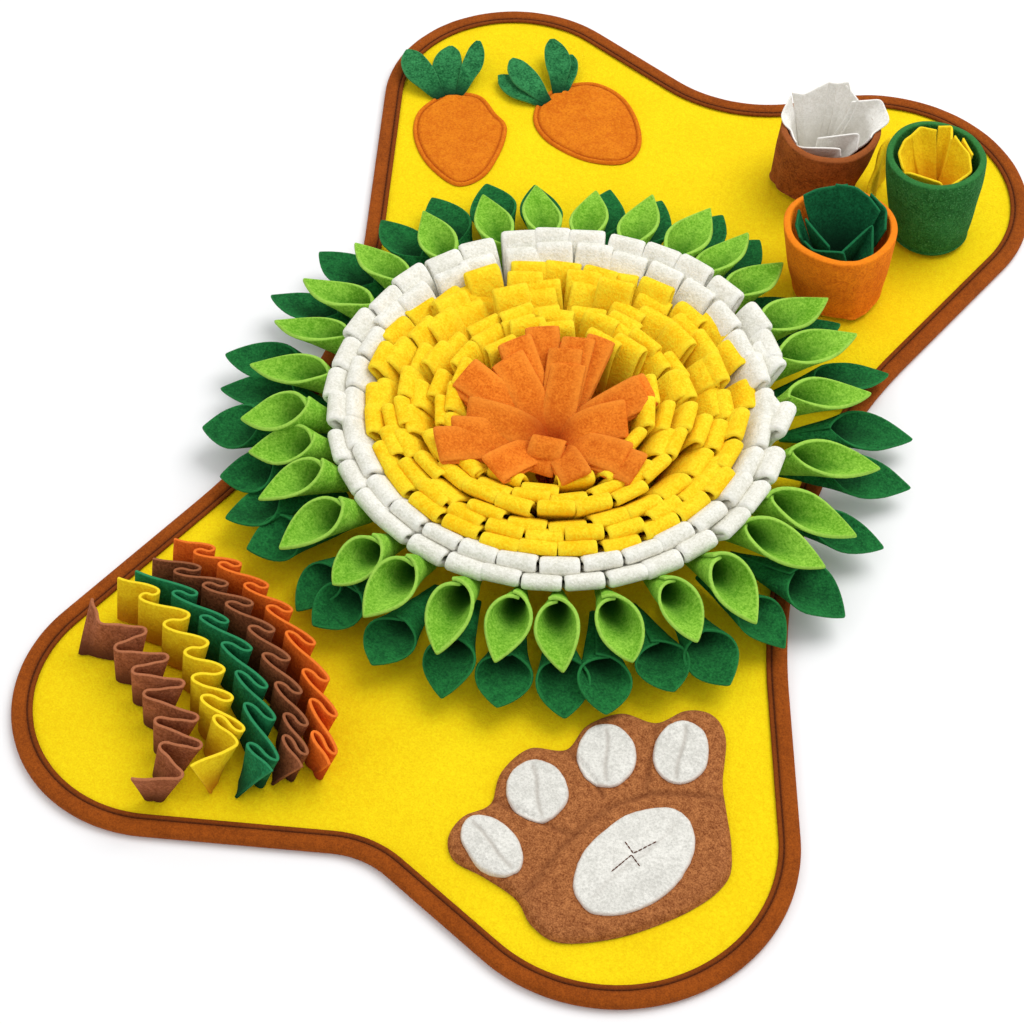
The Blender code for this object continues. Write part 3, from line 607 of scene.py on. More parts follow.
def bindingSection():
    # inset from the mat's edge, height and painted shade (darkest at the seam groove, dark on the inner lip),
    # from the underside outwards and over
    s = bindingSizes
    seam = s["width"] - s["seamFromInside"]
    return [
        (s["turn"], 0.0, 0), (0.0022, 0.0, 0), (0.0008, 0.0006, 0), (0.0, 0.0022, 0), (0.0, 0.004, 0),
        (0.0006, 0.0056, 0), (0.0022, 0.0066, 0), (0.0042, 0.0068, 0), (seam - 0.0024, 0.0067, 0),
        (seam - 0.0009, 0.0063, 0.3), (seam, 0.0058, 1.0), (seam + 0.0009, 0.0063, 0.45),
        (s["width"] - 0.001, 0.0066, 0.3), (s["width"], 0.006, 0.4), (s["width"], 0.0051, 0.7),
        (s["width"] - 0.0004, s["under"], 0.8), (s["turn"], s["under"], 0),
    ]


def addBinding():
    section = bindingSection()
    points, shades = [], []
    for point, normal in zip(edgePoints, edgeNormals):
        for k, (inset, height, shade) in enumerate(section):
            x, y = point - inset * normal
            # only the upper side is uneven
            uneven = bindingSizes["uneven"] * wave((x, y, 0), 0.012, 5) if 4 < k < 13 else 0
            points.append((x, y, height + uneven))
            shades.append(shade)
    faces = [tuple(i % len(points) for i in face) for face in ringFaces(len(edgePoints) + 1, len(section))]
    batch = newBatch()
    addPoints(batch, points, faces, deep=shades)
    piece = makePiece("edgeBinding", batch, "brownBinding", ["binding"], 0)


def stitchShape(length, thick):
    # a short thread, thicker in the middle, sunk at both ends
    points = []
    for share, reach in ((-0.5, 0.25), (-0.3, 0.85), (0.0, 1.0), (0.3, 0.85), (0.5, 0.25)):
        for k in range(6):
            angle = math.tau * k / 6
            points.append((share * length, reach * thick / 2 * math.cos(angle),
                           reach * thick / 2 * math.sin(angle) - (1 - reach) * thick * 0.4))
    faces = ringFaces(5, 6) + [tuple(range(5, -1, -1)), tuple(range(24, 30))]
    batch = newBatch()
    addPoints(batch, points, [face[::-1] for face in faces])
    return batch


def stitchPlaces(loop, step, height, closed=True):
    # points and turns along a line, one for each stitch
    loop = np.array(loop, float)
    if closed:
        loop = closedLine(loop)
    along = alongLine(loop[:, :2])
    count = max(2, int(along[-1] / step))
    wanted = (np.arange(count) + 0.5) * along[-1] / count
    xs, ys = np.interp(wanted, along, loop[:, 0]), np.interp(wanted, along, loop[:, 1])
    zs = np.interp(wanted, along, loop[:, 2]) if loop.shape[1] > 2 else np.full(count, height)
    places = []
    for i in range(count):
        k = min(np.searchsorted(along, wanted[i]) - 1, len(loop) - 2)
        run = loop[k + 1] - loop[k]
        places.append(((xs[i], ys[i], zs[i]), (0.0, 0.0, math.atan2(run[1], run[0])), (1.0, 1.0, 1.0), 0))
    return places


def addBindingStitches():
    s = bindingSizes
    line = edgePoints - (s["width"] - s["seamFromInside"]) * edgeNormals
    places = stitchPlaces(line, s["stitchStep"], s["stitchHeight"])
    setOut("bindingStitches", [stitchShape(s["stitchLength"], s["stitchThick"])], places, "bindingThread",
           [], seed=3, rounding=0)


addPanel()
addBinding()
addBindingStitches()
print("panel and binding")


lightLeaves = {
    "apexRadius": 0.125, "apexHeight": 0.015, "lowSlope": 17.4, "highSlope": 44.0, "spread": 0.208,
    "point": 1.7, "tipLength": 0.0905, "seamShare": 0.58, "flatSide": 0.0607, "thick": 0.0026,
    "tilt": (-0.02, 0.045),
    "angles": (-170, -158.5, -148, -138.5, -127.5, -115.5, -105, -92, -79.5, -69.5, -58.5, -45, -32, -19.5,
               -8, 7, 25, 38, 49, 61.5, 71, 81, 91.5, 103.5, 113.5, 124.5, 139, 153.5, 164.5, 177),
}
darkLeaves = {
    "apexRadius": 0.138, "apexHeight": 0.012, "lowSlope": 6.5, "highSlope": 20.0, "spread": 0.236,
    "point": 1.6, "tipLength": 0.0965, "seamShare": 0.58, "flatSide": 0.0665, "thick": 0.002,
    "tilt": (-0.035, 0.01),
    "angles": (-177, -167.5, -158, -148.5, -139, -129.5, -120, -110.5, -101, -90, -79.5, -70, -60.5, -51,
               -41.5, -32, -21.5, -6, 9, 20.5, 35, 48.5, 59.5, 70, 81, 91, 101, 112, 123, 133, 143, 155, 167),
}
leafObstacles = (
    # x, y, radius that leaves stay out of
    (0.134, 0.1925, 0.0415), (-0.217, -0.39, 0.2095),
)
leafForm = {
    # kinds of rolled piece for each colour, the grid of one, and how its mouth flares
    "kinds": 8, "rows": 9, "columns": 19, "start": 0.01, "sharp": 0.035, "edge": 0.0011,
    "flare": 0.1, "flareFrom": 0.72, "lumpy": 0.035,
    # pieces that stand behind are cut back at the seam and slimmer
    "seamBehind": -0.12, "seamInFront": 0.03, "slimBehind": 0.95,
    # how far one may differ from the next
    "overlap": (0.25, 1.1), "skew": (-0.05, 0.05), "gape": (0.82, 1.08), "bend": (-0.006, 0.003),
    "phase": (0, 6.28), "scale": (0.95, 1.04), "roll": (-0.22, 0.22), "yaw": (-0.07, 0.07),
}


def leafShape(sizes, chance, kind):
    # a pointed piece of felt rolled into a cone, mouth towards +X, its point lowest and longest, seam on top
    form = leafForm
    rows, start, thick = form["rows"], form["start"], sizes["thick"]
    behind = kind % 2 == 0                         # even kinds stand behind
    overlap, skew, gape, bend, phase = drawn(chance, form, "overlap", "skew", "gape", "bend", "phase")
    seamShare = sizes["seamShare"] + form["seamBehind" if behind else "seamInFront"]
    rise = math.tan(math.radians(sizes["highSlope"] - sizes["lowSlope"]) / 2) * gape
    spread = sizes["spread"] * (form["slimBehind"] if behind else 1.0)
    # narrow columns keep the point sharp
    shares = sorted([*np.linspace(-1, 1, form["columns"]), -form["sharp"], form["sharp"]])
    grid = np.zeros((rows, len(shares), 3))
    for j, share in enumerate(shares):
        share = math.copysign(abs(share) ** 1.12, share)
        roll = share * (math.pi + overlap / 2)
        longest = sizes["tipLength"] * (seamShare + (1 - seamShare) * (1 - abs(share)) ** sizes["point"])
        flap = float(smoothStep(2.3, 3.1, abs(roll)))                # 1 where the two edges overlap
        offset = flap * thick * (0.75 if share > 0 else -0.55)
        outward = unit(np.array([0.0, math.sin(roll) * spread, -math.cos(roll) * rise]))
        for i in range(rows):
            part = i / (rows - 1)
            flare = 1 + form["flare"] * max(0.0, part - form["flareFrom"]) / 0.28 * (1 - 0.5 * flap)
            flare *= 1 + form["lumpy"] * part * math.sin(2 * roll + phase)
            wide, tall = math.sin(roll) * spread * flare, -math.cos(roll) * rise * flare
            ray = unit(np.array([1.0, wide + skew * part, tall]))
            grid[i, j] = (start + (longest - start) * part) * ray + offset * part * outward
            tip = max(0.0, 1 - abs(share) * 3.2) * max(0.0, part - 0.6) / 0.4
            grid[i, j, 2] += bend * tip * tip
    batch = newBatch()
    # painted shade inside the roll, strongest towards its point
    addCloth(batch, grid[:, ::-1], thick, smoothStep(0.95, 0.3, np.linspace(0, 1, rows)), edge=form["edge"])
    return batch


def leafTips(sizes, scale, angle):
    # where the leaf's mouth reaches, to keep it off what stands beside it
    slope = (math.radians(sizes["lowSlope"]) + math.radians(sizes["highSlope"])) / 2
    out = Vector((math.cos(angle), math.sin(angle)))
    spots = []
    for roll in np.linspace(0, math.tau, 12, endpoint=False):
        share = min(roll, math.tau - roll) / math.pi
        length = float(scale * sizes["tipLength"]
                       * (sizes["seamShare"] + (1 - sizes["seamShare"]) * (1 - share) ** 1.15))
        level = sizes["apexRadius"] + length * (math.cos(slope) + math.sin(slope) * math.cos(roll) * 0.15)
        spots.append(Vector(mat["flower"]) + level * out
                     + length * sizes["spread"] * math.sin(roll) * Vector((-out.y, out.x)))
    return spots


def leafPlaces(sizes, chance):
    slope = math.radians(sizes["lowSlope"] + sizes["highSlope"]) / 2
    places = []
    for angle in sizes["angles"]:
        turn = math.radians(angle)
        x, y = math.cos(turn), math.sin(turn)
        scale = chance.uniform(*leafForm["scale"]) * (0.94 if y < -0.5 else 1.02 if y > 0.5 else 1.0)
        while any((spot - Vector(centre)).length < reach
                  for *centre, reach in leafObstacles for spot in leafTips(sizes, scale, turn)):
            scale -= 0.02
        point = (mat["flower"][0] + sizes["apexRadius"] * x, mat["flower"][1] + sizes["apexRadius"] * y,
                 sizes["apexHeight"])
        roll = chance.uniform(*leafForm["roll"])
        tilt = chance.uniform(*sizes["tilt"])
        yaw = turn + chance.uniform(*leafForm["yaw"])
        kind = 2 * chance.randrange(leafForm["kinds"] // 2) + (y < -0.35)
        places.append((point, (roll, -(slope + tilt), yaw), (scale,) * 3, kind))
    return places


def addLeaves(name, sizes, sectors, felt, seed):
    chance = random.Random(seed)
    shapes = [leafShape(sizes, chance, kind) for kind in range(leafForm["kinds"])]
    places = leafPlaces(sizes, chance)
    count, side = len(places), sizes["flatSide"]
    order = sorted(range(count), key=lambda i: (sizes["angles"][i] + 360) % 360)
    for sector in range(sectors):
        part = [places[i] for i in order[sector * count // sectors:(sector + 1) * count // sectors]]
        title = f"{name}{sector + 1}"
        piece = setOut(title, shapes, part, felt, [nodeOf(title)], seed + sector,
                       wobble=0.0022, wobbleSize=55.0)


addLeaves("darkLeaves", darkLeaves, 2, "darkGreenFelt", 21)
addLeaves("lightLeaves", lightLeaves, 4, "lightGreenFelt", 33)
print("rolled leaves")


stripRings = (
    # name, count, root radius, top radius, top height, outward bend, shift along the mat, taller behind by
    ("whiteStripsOuter", 35, 0.1125, 0.1505, 0.05, 0.004, 0.0, 0.085),
    ("whiteStripsInner", 32, 0.101, 0.1372, 0.051, 0.004, 0.0, 0.03),
    ("yellowStrips1", 29, 0.0905, 0.1245, 0.0515, 0.007, 0.0, 0.0),
    ("yellowStrips2", 27, 0.082, 0.1135, 0.0525, 0.009, -0.0024, 0.0),
    ("yellowStrips3", 24, 0.0735, 0.102, 0.054, 0.011, -0.0048, 0.0),
    ("yellowStrips4", 22, 0.065, 0.0905, 0.0555, 0.012, -0.0072, 0.0),
    ("yellowStrips5", 19, 0.056, 0.0785, 0.057, 0.013, -0.0096, 0.04),
    ("yellowStrips6", 16, 0.047, 0.066, 0.0585, 0.014, -0.012, 0.085),
)
stripCloths = {
    "white": {"width": 0.0256, "depth": 0.012, "cloth": 0.0054, "loose": 0.5, "felt": "whiteFleece",
              "slot": "white_felt"},
    "yellow": {"width": 0.0252, "depth": 0.011, "cloth": 0.0036, "loose": 1.2, "felt": "yellowFelt",
               "slot": "yellow_felt"},
}


stripForm = {
    # how far one strip may differ from the next: its shape, then its place in the ring, in degrees
    "gape": (0.8, 1.15), "belly": (0.7, 1.2), "curl": (0.6, 1.2), "skew": (-0.05, 0.05),
    "stray": (-0.05, 0.05), "yaw": (-9, 9), "tilt": (-5, 6), "tall": (-0.06, 0.04), "roll": (-3, 3),
    # shapes for each ring, room between neighbours, and the three that splay open at the right
    "kinds": 6, "gap": 0.0004, "splayFrom": 2, "splayTo": 32, "splay": (38, -20, 30),
}


def stripShape(length, width, depth, cloth, bend, chance):
    # a strip folded in two, its fold at the top (+Z) and both ends in the seam
    gape, belly, curl, skew = drawn(chance, stripForm, "gape", "belly", "curl", "skew")
    half = (depth - cloth) / 2 * gape
    bend *= curl
    front = [(0.25 * half, 0.0), (0.7 * half * belly, 0.34 * length), (half, 0.66 * length),
             (half, 0.84 * length), (half, length - 0.9 * half), (0.62 * half, length - 0.18 * half)]
    profile = [(x + bend * (z / length) ** 2.6, z) for x, z in front + [(-x, z) for x, z in front[::-1]]]
    grid = [[(x, side * width / 2 + 0.3 * skew * (z - 0.5 * length), z + side * skew * 0.004)
             for side in (1.0, 0.7, -0.7, -1.0)] for x, z in profile]
    # painted shade towards the roots, down between the strips, lighter on the outer side
    deep = [smoothStep(0.75, 0.2, z / length) for x, z in profile]
    batch = newBatch()
    addCloth(batch, grid, cloth, deep, edge=0, outer=0.75)
    return batch


def addStripRing(row, seed):
    name, count, rootRadius, topRadius, topHeight, bend, aside, swing = row
    form = stripForm
    style = stripCloths["white" if name.startswith("white") else "yellow"]
    chance = random.Random(seed)
    out = topRadius - rootRadius
    up = topHeight - mat["sewnOn"] + 0.12 * style["depth"]
    length = math.hypot(out, up)
    lean = math.atan2(out - 0.85 * bend, up)
    width = min(style["width"], math.tau * (rootRadius + 0.86 * out) / count - form["gap"])
    shapes = [stripShape(length, width, style["depth"], style["cloth"], bend, chance)
              for _ in range(form["kinds"])]
    shift = chance.random()
    places = []
    for i in range(count):
        stray, yaw, tilt, tall, roll = drawn(chance, form, "stray", "yaw", "tilt", "tall", "roll")
        turn = math.tau * (i + shift + stray) / count
        free = style["loose"] * (0.8 + 0.5 * math.sin(turn - 0.3))   # neat at the front, looser behind
        yaw = turn + math.radians(yaw) * free
        tilt = lean + math.radians(tilt) * free
        tall = 1 + tall * free + swing * math.sin(turn)
        point = (mat["flower"][0] + rootRadius * math.cos(turn),
                 mat["flower"][1] + aside + rootRadius * math.sin(turn), mat["sewnOn"] + 0.0005)
        if name == "whiteStripsOuter" and form["splayFrom"] <= math.degrees(turn) % 360 < form["splayTo"]:
            yaw += math.radians(form["splay"][i % 3])
        places.append((point, (math.radians(roll) * free, tilt, yaw), (1, 1, tall),
                       chance.randrange(form["kinds"])))
    piece = setOut(name, shapes, places, style["felt"], [nodeOf(name)], seed,
                   wobble=0.0016, wobbleSize=70.0)


for number, row in enumerate(stripRings):
    addStripRing(row, 40 + number)
print("strips")


tuft = {
    # strips drawn together at one point and bent outwards from it
    "centre": (0.0105, -0.05), "root": (-0.002, 0.012), "neck": (0.003, 0.042),
    "cloth": 0.0024, "half": 0.0017, "flat": (0.023, 2.9),
    "strips": (
        # angle, bend radius, bend height, tip radius, tip height, width, rise across the width
        (96, 0.021, 0.058, 0.047, 0.07, 0.024, -0.14), (101, 0.026, 0.0575, 0.058, 0.0722, 0.0235, -0.1),
        (97, 0.031, 0.057, 0.069, 0.0722, 0.023, -0.1), (85, 0.034, 0.055, 0.076, 0.07, 0.02, 0.05),
        (130, 0.032, 0.0565, 0.071, 0.071, 0.0235, -0.2), (118, 0.035, 0.0555, 0.078, 0.071, 0.0235, 0.05),
        (141, 0.027, 0.0575, 0.06, 0.0685, 0.024, -0.2), (160, 0.032, 0.056, 0.071, 0.066, 0.0235, -0.3),
        (165, 0.032, 0.053, 0.072, 0.062, 0.0235, -0.3), (-166, 0.024, 0.059, 0.054, 0.064, 0.024, -0.55),
        (-150, 0.028, 0.056, 0.062, 0.0625, 0.024, -0.45),
        (-146, 0.033, 0.055, 0.074, 0.0645, 0.024, -0.3), (-118, 0.024, 0.055, 0.049, 0.06, 0.0225, -0.3),
        (-84, 0.0085, 0.0615, 0.0195, 0.056, 0.0235, 0.0),
        (-92, 0.015, 0.054, 0.027, 0.0505, 0.0235, 0.05), (-48, 0.018, 0.0545, 0.04, 0.0595, 0.021, 0.25),
        (-9, 0.023, 0.0565, 0.051, 0.063, 0.0235, 0.35), (-13, 0.028, 0.055, 0.062, 0.062, 0.0235, 0.3),
        (26, 0.021, 0.059, 0.046, 0.063, 0.024, 0.5), (47, 0.029, 0.057, 0.064, 0.066, 0.024, 0.35),
        (46, 0.032, 0.054, 0.07, 0.064, 0.0235, 0.3),
    ),
}


def addTuftStrip(batch, spine, width, angle, tone, rise, chance):
    # a doubled strip along a line in its own upright plane, folded over at the far end
    half = tuft["half"]
    run, side = runsAndSides(spine)
    share = np.linspace(0, 1, len(spine))
    apart = half * (0.35 + 0.65 * np.clip(share * 1.3, 0, 1))[:, None]
    tip = spine[-1] + run[-1] * half
    path = np.concatenate([spine + side * apart, [tip + 0.45 * half * side[-1], tip - 0.45 * half * side[-1]],
                           (spine - side * apart)[::-1]])
    parts = np.concatenate([share, [1, 1], share[::-1]])
    out, left = heading(angle)
    lean = chance.uniform(-0.06, 0.06)
    grid = []
    for (radius, height), part in zip(path, parts):
        row = []
        for across in (width / 2, 0.2 * width, -0.2 * width, -width / 2):
            x, y = np.array(tuft["centre"]) + radius * out + (across + lean * radius) * left
            row.append((x, y, height + (rise * across - 0.0006 * (2 * across / width) ** 2) * part))
        grid.append(row)
    # painted shade where the strips are drawn together
    addCloth(batch, grid, tuft["cloth"], smoothStep(0.72, 0.32, parts), tone=tone, edge=0)


def addTuft():
    chance = random.Random(61)
    batch = newBatch()
    for angle, bendRadius, bendHeight, tipRadius, tipHeight, width, rise in tuft["strips"]:
        corners = [tuft["root"], tuft["neck"], (bendRadius, bendHeight), (tipRadius, tipHeight)]
        spine = curveThrough(corners, 10)
        addTuftStrip(batch, spine, width, angle, chance.random(), rise + chance.uniform(-0.04, 0.04), chance)
    piece = makePiece("orangeStrips", batch, "orangeFelt",
                      ["orange_strips_outer", "orange_strips_inner"])


addTuft()
print("orange middle")


cups = (
    # name, x, y, foot radius, rim radius, height, lean x, lean y, felt, slot
    ("greenCup", 0.183, 0.268, 0.0262, 0.0356, 0.072, -0.0056, 0.008, "heatherGreenFelt", "heather_green"),
    ("brownCup", 0.09, 0.292, 0.0288, 0.0362, 0.06, 0.0085, -0.003, "brownCupFelt", "cup_brown"),
    ("orangeCup", 0.1365, 0.19, 0.03, 0.0392, 0.062, -0.0045, 0.005, "orangeCupFelt", "cup_orange"),
)
cupForm = {"wall": 0.005, "footOut": 0.0024, "footHeight": 0.003, "columns": 56, "softness": 0.0011,
           "rimWave": 0.0016, "bulge": 0.0012}
cupSeams = {
    # cup: (angle, how far it stands out at the foot, half width in degrees, depth of the crease)
    "greenCup": ((40, 0.0006, 10, 0.001),),
    "brownCup": ((205, 0.004, 16, 0.0016), (228, 0.0022, 9, 0.002)),
    "orangeCup": ((-52, 0.0046, 15, 0.001), (-38, 0.0012, 6, 0.0018)),
}


def addCup(row, seed):
    name, x, y, footRadius, rimRadius, height, leanX, leanY, felt, slot = row
    form = cupForm
    floor = mat["sewnOn"]
    foot = floor + form["footHeight"]
    levels = [height, height - 0.0012, *np.linspace(height - 0.006, foot + 0.004, 7), foot + 0.0012,
              foot - 0.0004, floor + 0.0022]
    flares = {0: 0.0002, len(levels) - 2: 0.75 * form["footOut"], len(levels) - 1: form["footOut"]}
    grid = np.zeros((len(levels), form["columns"], 3))
    for i, level in enumerate(levels):
        share = (level - floor) / (height - floor)
        for j in range(form["columns"]):
            degrees = 360 * j / form["columns"]
            out = heading(degrees)[0]
            radius = footRadius + (rimRadius - footRadius) * share ** 0.9
            radius += form["bulge"] * math.sin(math.pi * share)
            radius += flares.get(i, 0.0) - form["wall"] / 2
            radius += form["softness"] * wave((*(0.03 * out), level), 0.022, seed) * (0.4 + share)
            for seam, stand, wide, crease in cupSeams[name]:
                away = (degrees - seam + 180) % 360 - 180
                radius += stand * math.exp(-(away / wide) ** 2) * (1 - share) ** 1.2
                radius -= crease * math.exp(-((away + wide * 0.9) / 4.5) ** 2) * (1 - 0.6 * share)
            rim = form["rimWave"] * wave((*out, 0), 0.9, seed + 3) * float(smoothStep(0.5, 1, share))
            grid[i, j] = (x + share * leanX + radius * out[0], y + share * leanY + radius * out[1],
                          level + rim)
    # painted shade low inside the cup
    paintedShades = smoothStep(0.85, 0.15, (np.array(levels) - floor) / (height - floor))
    batch = newBatch()
    addCloth(batch, grid, form["wall"], paintedShades, closed=True)
    piece = makePiece(name, batch, felt, [nodeOf(name)])


fillings = {
    # cup: felt, slot, cloth, and sheets as a foot point and the corners of the cut upper edge,
    # in mm from the cup's middle
    "greenCup": ("yellowFillingFelt", "yellow_felt", 0.002, (
        ((2, -5, 30), ((-21, 7, 77), (-17, 16, 79), (-5, 18, 78))),
        ((1, 0, 36), ((-5, 21, 79), (4, 25, 79), (7, 15, 76))),
        ((4, -7, 34), ((8, 17, 78), (22, 8, 72), (27, -2, 67), (14, -18, 62))),
        ((9, 2, 34), ((14, 19, 76), (24, 10, 71))),
        ((-4, -7, 30), ((-19, 11, 77), (-24, 2, 76), (-25, -8, 72), (-19, -17, 67))),
        ((-1, -11, 34), ((-20, -17, 63), (-14, -17, 66), (8, -17, 64), (12, -19, 59))))),
    "brownCup": ("whiteFillingFelt", "white_felt", 0.0014, (
        ((-10, -2, 26), ((-34, 9, 76), (-26, 10, 75), (-12, 25, 79))),
        ((-2, 3, 26), ((-12, 25, 79), (0, 30, 77), (13, 22, 72))),
        ((2, 6, 30), ((-6, 27, 78), (2, 31, 79), (6, 25, 75))),
        ((5, 1, 28), ((8, 20, 71), (27, 30, 71), (40, 17, 64), (30, 0, 60))),
        ((-14, -8, 28), ((-34, 8, 74), (-37, -5, 65), (-31, -15, 61), (-20, -22, 58))),
        ((4, -8, 28), ((-7, -10, 56), (20, 2, 60), (23, -7, 51))),
        ((-4, -12, 28), ((-22, -19, 53), (-14, -22, 55), (12, -14, 56), (14, -16, 50))))),
    "orangeCup": ("greenFillingFelt", "dark_green_felt", 0.002, (
        ((-5, 1, 28), ((-30, 6, 74), (-22, 14, 76), (-3, 25, 77))),
        ((3, 3, 28), ((-11, 21, 78), (2, 25, 76), (13, 23, 72), (23, 16, 68))),
        ((11, 3, 30), ((13, 27, 72), (27, 21, 67), (30, 7, 61))),
        ((6, -9, 28), ((5, -12, 49), (21, 10, 62), (26, -10, 50))),
        ((-6, -6, 28), ((-25, -2, 61), (-14, -8, 56), (-4, -12, 51))),
        ((-15, -3, 30), ((-31, 3, 63), (-30, -7, 58), (-25, -14, 54))),
        ((-3, -14, 28), ((-22, -15, 53), (-13, -20, 52), (7, -17, 54), (10, -18, 47))))),
}
fillingForm = {"rows": 9, "steps": 4, "gather": 0.4, "bow": 0.1, "crumple": 0.0007, "gap": 0.0012,
               "flatWidth": 0.05}


def addFilling(row, seed):
    name, x, y, footRadius, rimRadius, height, leanX, leanY = row[:8]
    felt, slot, cloth, sheets = fillings[name]
    form = fillingForm
    rows, steps = form["rows"], form["steps"]
    chance = random.Random(seed)
    batch = newBatch()
    for number, (foot, tops) in enumerate(sheets):
        foot, tops = np.array(foot) / 1000, np.array(tops) / 1000
        edge = np.array([tops[k] + (tops[k + 1] - tops[k]) * step / steps for k in range(len(tops) - 1)
                         for step in range(steps)] + [tops[-1]])
        middle = edge.mean(axis=0)
        grid = np.zeros((rows, len(edge), 3))
        for i in range(rows):
            v = i / (rows - 1)
            for j, top in enumerate(edge):
                low = foot + form["gather"] * (top - middle) * np.array([1, 1, 0])
                spot = low + (top - low) * v
                crumple = form["crumple"] * v * wave(spot, 0.012, seed + number)
                spot[:2] += form["bow"] * math.sin(math.pi * v) * (top - low)[:2] + crumple
                share = min(spot[2] / height, 1.0)
                limit = footRadius + (rimRadius - footRadius) * share
                limit -= cupForm["wall"] + form["gap"] + cloth / 2
                limit += 4 * max(0.0, spot[2] - height - 0.001)              # free to spread above the rim
                spot[:2] *= min(1.0, limit / max(float(np.linalg.norm(spot[:2])), 1e-9))
                grid[i, j] = spot + np.array([x + leanX * share, y + leanY * share, 0.0])
        # painted shade low down in the cup, on both sides of each sheet
        deep = smoothStep(0.8, 0.1, np.linspace(0, 1, rows))
        addCloth(batch, grid, cloth, deep, tone=chance.random(), edge=0.0008, outer=1.0)
    piece = makePiece(f"{name}Filling", batch, felt, [nodeOf(f"{name}Filling")])


for number, row in enumerate(cups):
    addCup(row, 70 + number)
    addFilling(row, 80 + number)

tabForm = {
    # x, y, top height along the doubled strip between two cups
    "line": ((0.1395, 0.2585, 0.0255), (0.1355, 0.269, 0.033), (0.1368, 0.282, 0.04),
             (0.1352, 0.297, 0.0455), (0.139, 0.308, 0.0475)),
    "half": 0.0011, "cloth": 0.002, "flat": (0.052, 0.085),
}


def addTab():
    line = curveThrough(tabForm["line"], 12)
    side = runsAndSides(line[:, :2])[1]
    front = ((-1, 0.0), (-1, 0.35), (-1, 0.75), (-1, 0.965), (-0.45, 1.0))
    rows = []
    for offset, share in front + tuple((-offset, share) for offset, share in front[::-1]):
        flat = line[:, :2] + side * offset * tabForm["half"]
        level = mat["sewnOn"] + 0.0004 + (line[:, 2] - mat["sewnOn"]) * share
        rows.append(np.concatenate([flat, level[:, None]], axis=1))
    batch = newBatch()
    addCloth(batch, rows, tabForm["cloth"], edge=0)
    piece = makePiece("yellowTab", batch, "yellowFillingFelt", ["yellow_tab"])


addTab()
print("cups, fillings and tab")


ruffleCentre = np.array([-0.217, -0.39])
ruffles = (
    # name, height, felt, slot, foot of the front end, folds of the upper edge: angle and radius in mm
    ("tanRuffle", 0.036, "tanFelt", "tan_felt", (17, 88), (
        (90, 130), (83.5, 114), (70.5, 128.5), (74, 104.5), (59, 125.5), (62.5, 100.5), (48.5, 124.5),
        (52.5, 98), (36, 125), (39.5, 97.5), (26.5, 125), (29, 98.4), (16.5, 115), (13.5, 84))),
    ("yellowRuffle", 0.039, "yellowRuffleFelt", "yellow_felt", (19.5, 127), (
        (86.5, 148), (75.5, 153), (79, 142.5), (65, 152), (68.5, 136.5), (56, 149.5), (57.5, 133),
        (47, 149), (49, 128), (38.3, 147), (42, 128.5), (29, 150), (35, 133), (26, 146), (19, 118))),
    ("greenRuffle", 0.039, "greenRuffleFelt", "ruffle_green_felt", (18.5, 142), (
        (84, 158), (68.5, 166.5), (73.3, 157), (58.3, 167.5), (63.8, 156.3), (49.5, 169.5),
        (54.4, 155.3), (39.2, 168.5), (45.6, 154), (30.8, 168.7), (36.9, 152.5), (21.4, 169.5),
        (25.8, 151), (18.6, 167))),
    ("brownRuffle", 0.037, "brownRuffleFelt", "brown_felt", (22, 163), (
        (83, 173), (73, 183), (77.1, 171), (66.2, 185.5), (69.8, 173.5), (59.2, 187.5), (63, 174.5),
        (51.5, 188), (55.2, 175.5), (44, 187.5), (48, 174), (36.2, 187.5), (40.3, 174), (29, 187.5),
        (32.8, 174.4), (22.8, 186.5), (27.6, 172.5), (20, 184))),
    ("orangeRuffle", 0.036, "orangeRuffleFelt", "ruffle_orange_felt", (24, 190), (
        (82, 192.5), (74, 200), (77, 190.5), (68, 202), (71.3, 192), (61, 203.5), (64.6, 193), (54, 205),
        (57.8, 193.5), (46, 206.5), (50.4, 193.5), (37.6, 205.5), (41.5, 192.5), (30.6, 205.5),
        (34.8, 191.5), (23, 203.5), (28, 190), (20.6, 200))),
)
ruffleForm = {"cloth": 0.0021, "turn": {"tanRuffle": 0.0036, "yellowRuffle": 0.0024}, "otherTurn": 0.0018,
              "rearFoot": {"tanRuffle": (91, 0.106)}, "lean": 0.0085, "footSwing": 0.62, "bow": 0.001,
              "levels": (0.0, 0.03, 0.2, 0.42, 0.66, 0.86, 0.965, 1.0)}


def pleatLine(corners, turn, steps=7):
    # straight runs joined by round turns, with the same number of points wherever the corners are
    arcs = [[corners[0]]]
    for before, here, after in zip(corners[:-2], corners[1:-1], corners[2:]):
        first, second = unit(here[:2] - before[:2]), unit(after[:2] - here[:2])
        tip = unit(first - second)
        side = np.array([-tip[1], tip[0]]) * (1 if first[0] * second[1] > first[1] * second[0] else -1)
        if float(first @ second) > 0.35:                # a bend, not a fold
            pushes = [share * (first if share < 0 else second) for share in (-1.6, -0.7, 0.0, 0.7, 1.6)]
        else:
            pushes = [side * math.sin(angle) - tip * (1 - math.cos(angle))
                      for angle in np.radians((-90, -50, 0, 50, 90))]
        arcs.append([np.append(here[:2] + turn * push, here[2]) for push in pushes])
    arcs.append([corners[-1]])
    line = []
    for number, (arc, following) in enumerate(zip(arcs[:-1], arcs[1:])):
        line += arc
        run = following[0] - arc[-1]
        across = unit(np.array([-run[1], run[0]]))
        for part in (step / steps for step in range(1, steps)):
            spot = arc[-1] + run * part
            spot[:2] += across * ruffleForm["bow"] * math.sin(math.tau * part) * (1 if number % 2 else -1)
            line.append(spot)
    line = np.array(line + [corners[-1]])
    for _ in range(2):
        line[1:-1] = 0.25 * line[:-2] + 0.5 * line[1:-1] + 0.25 * line[2:]
    return line


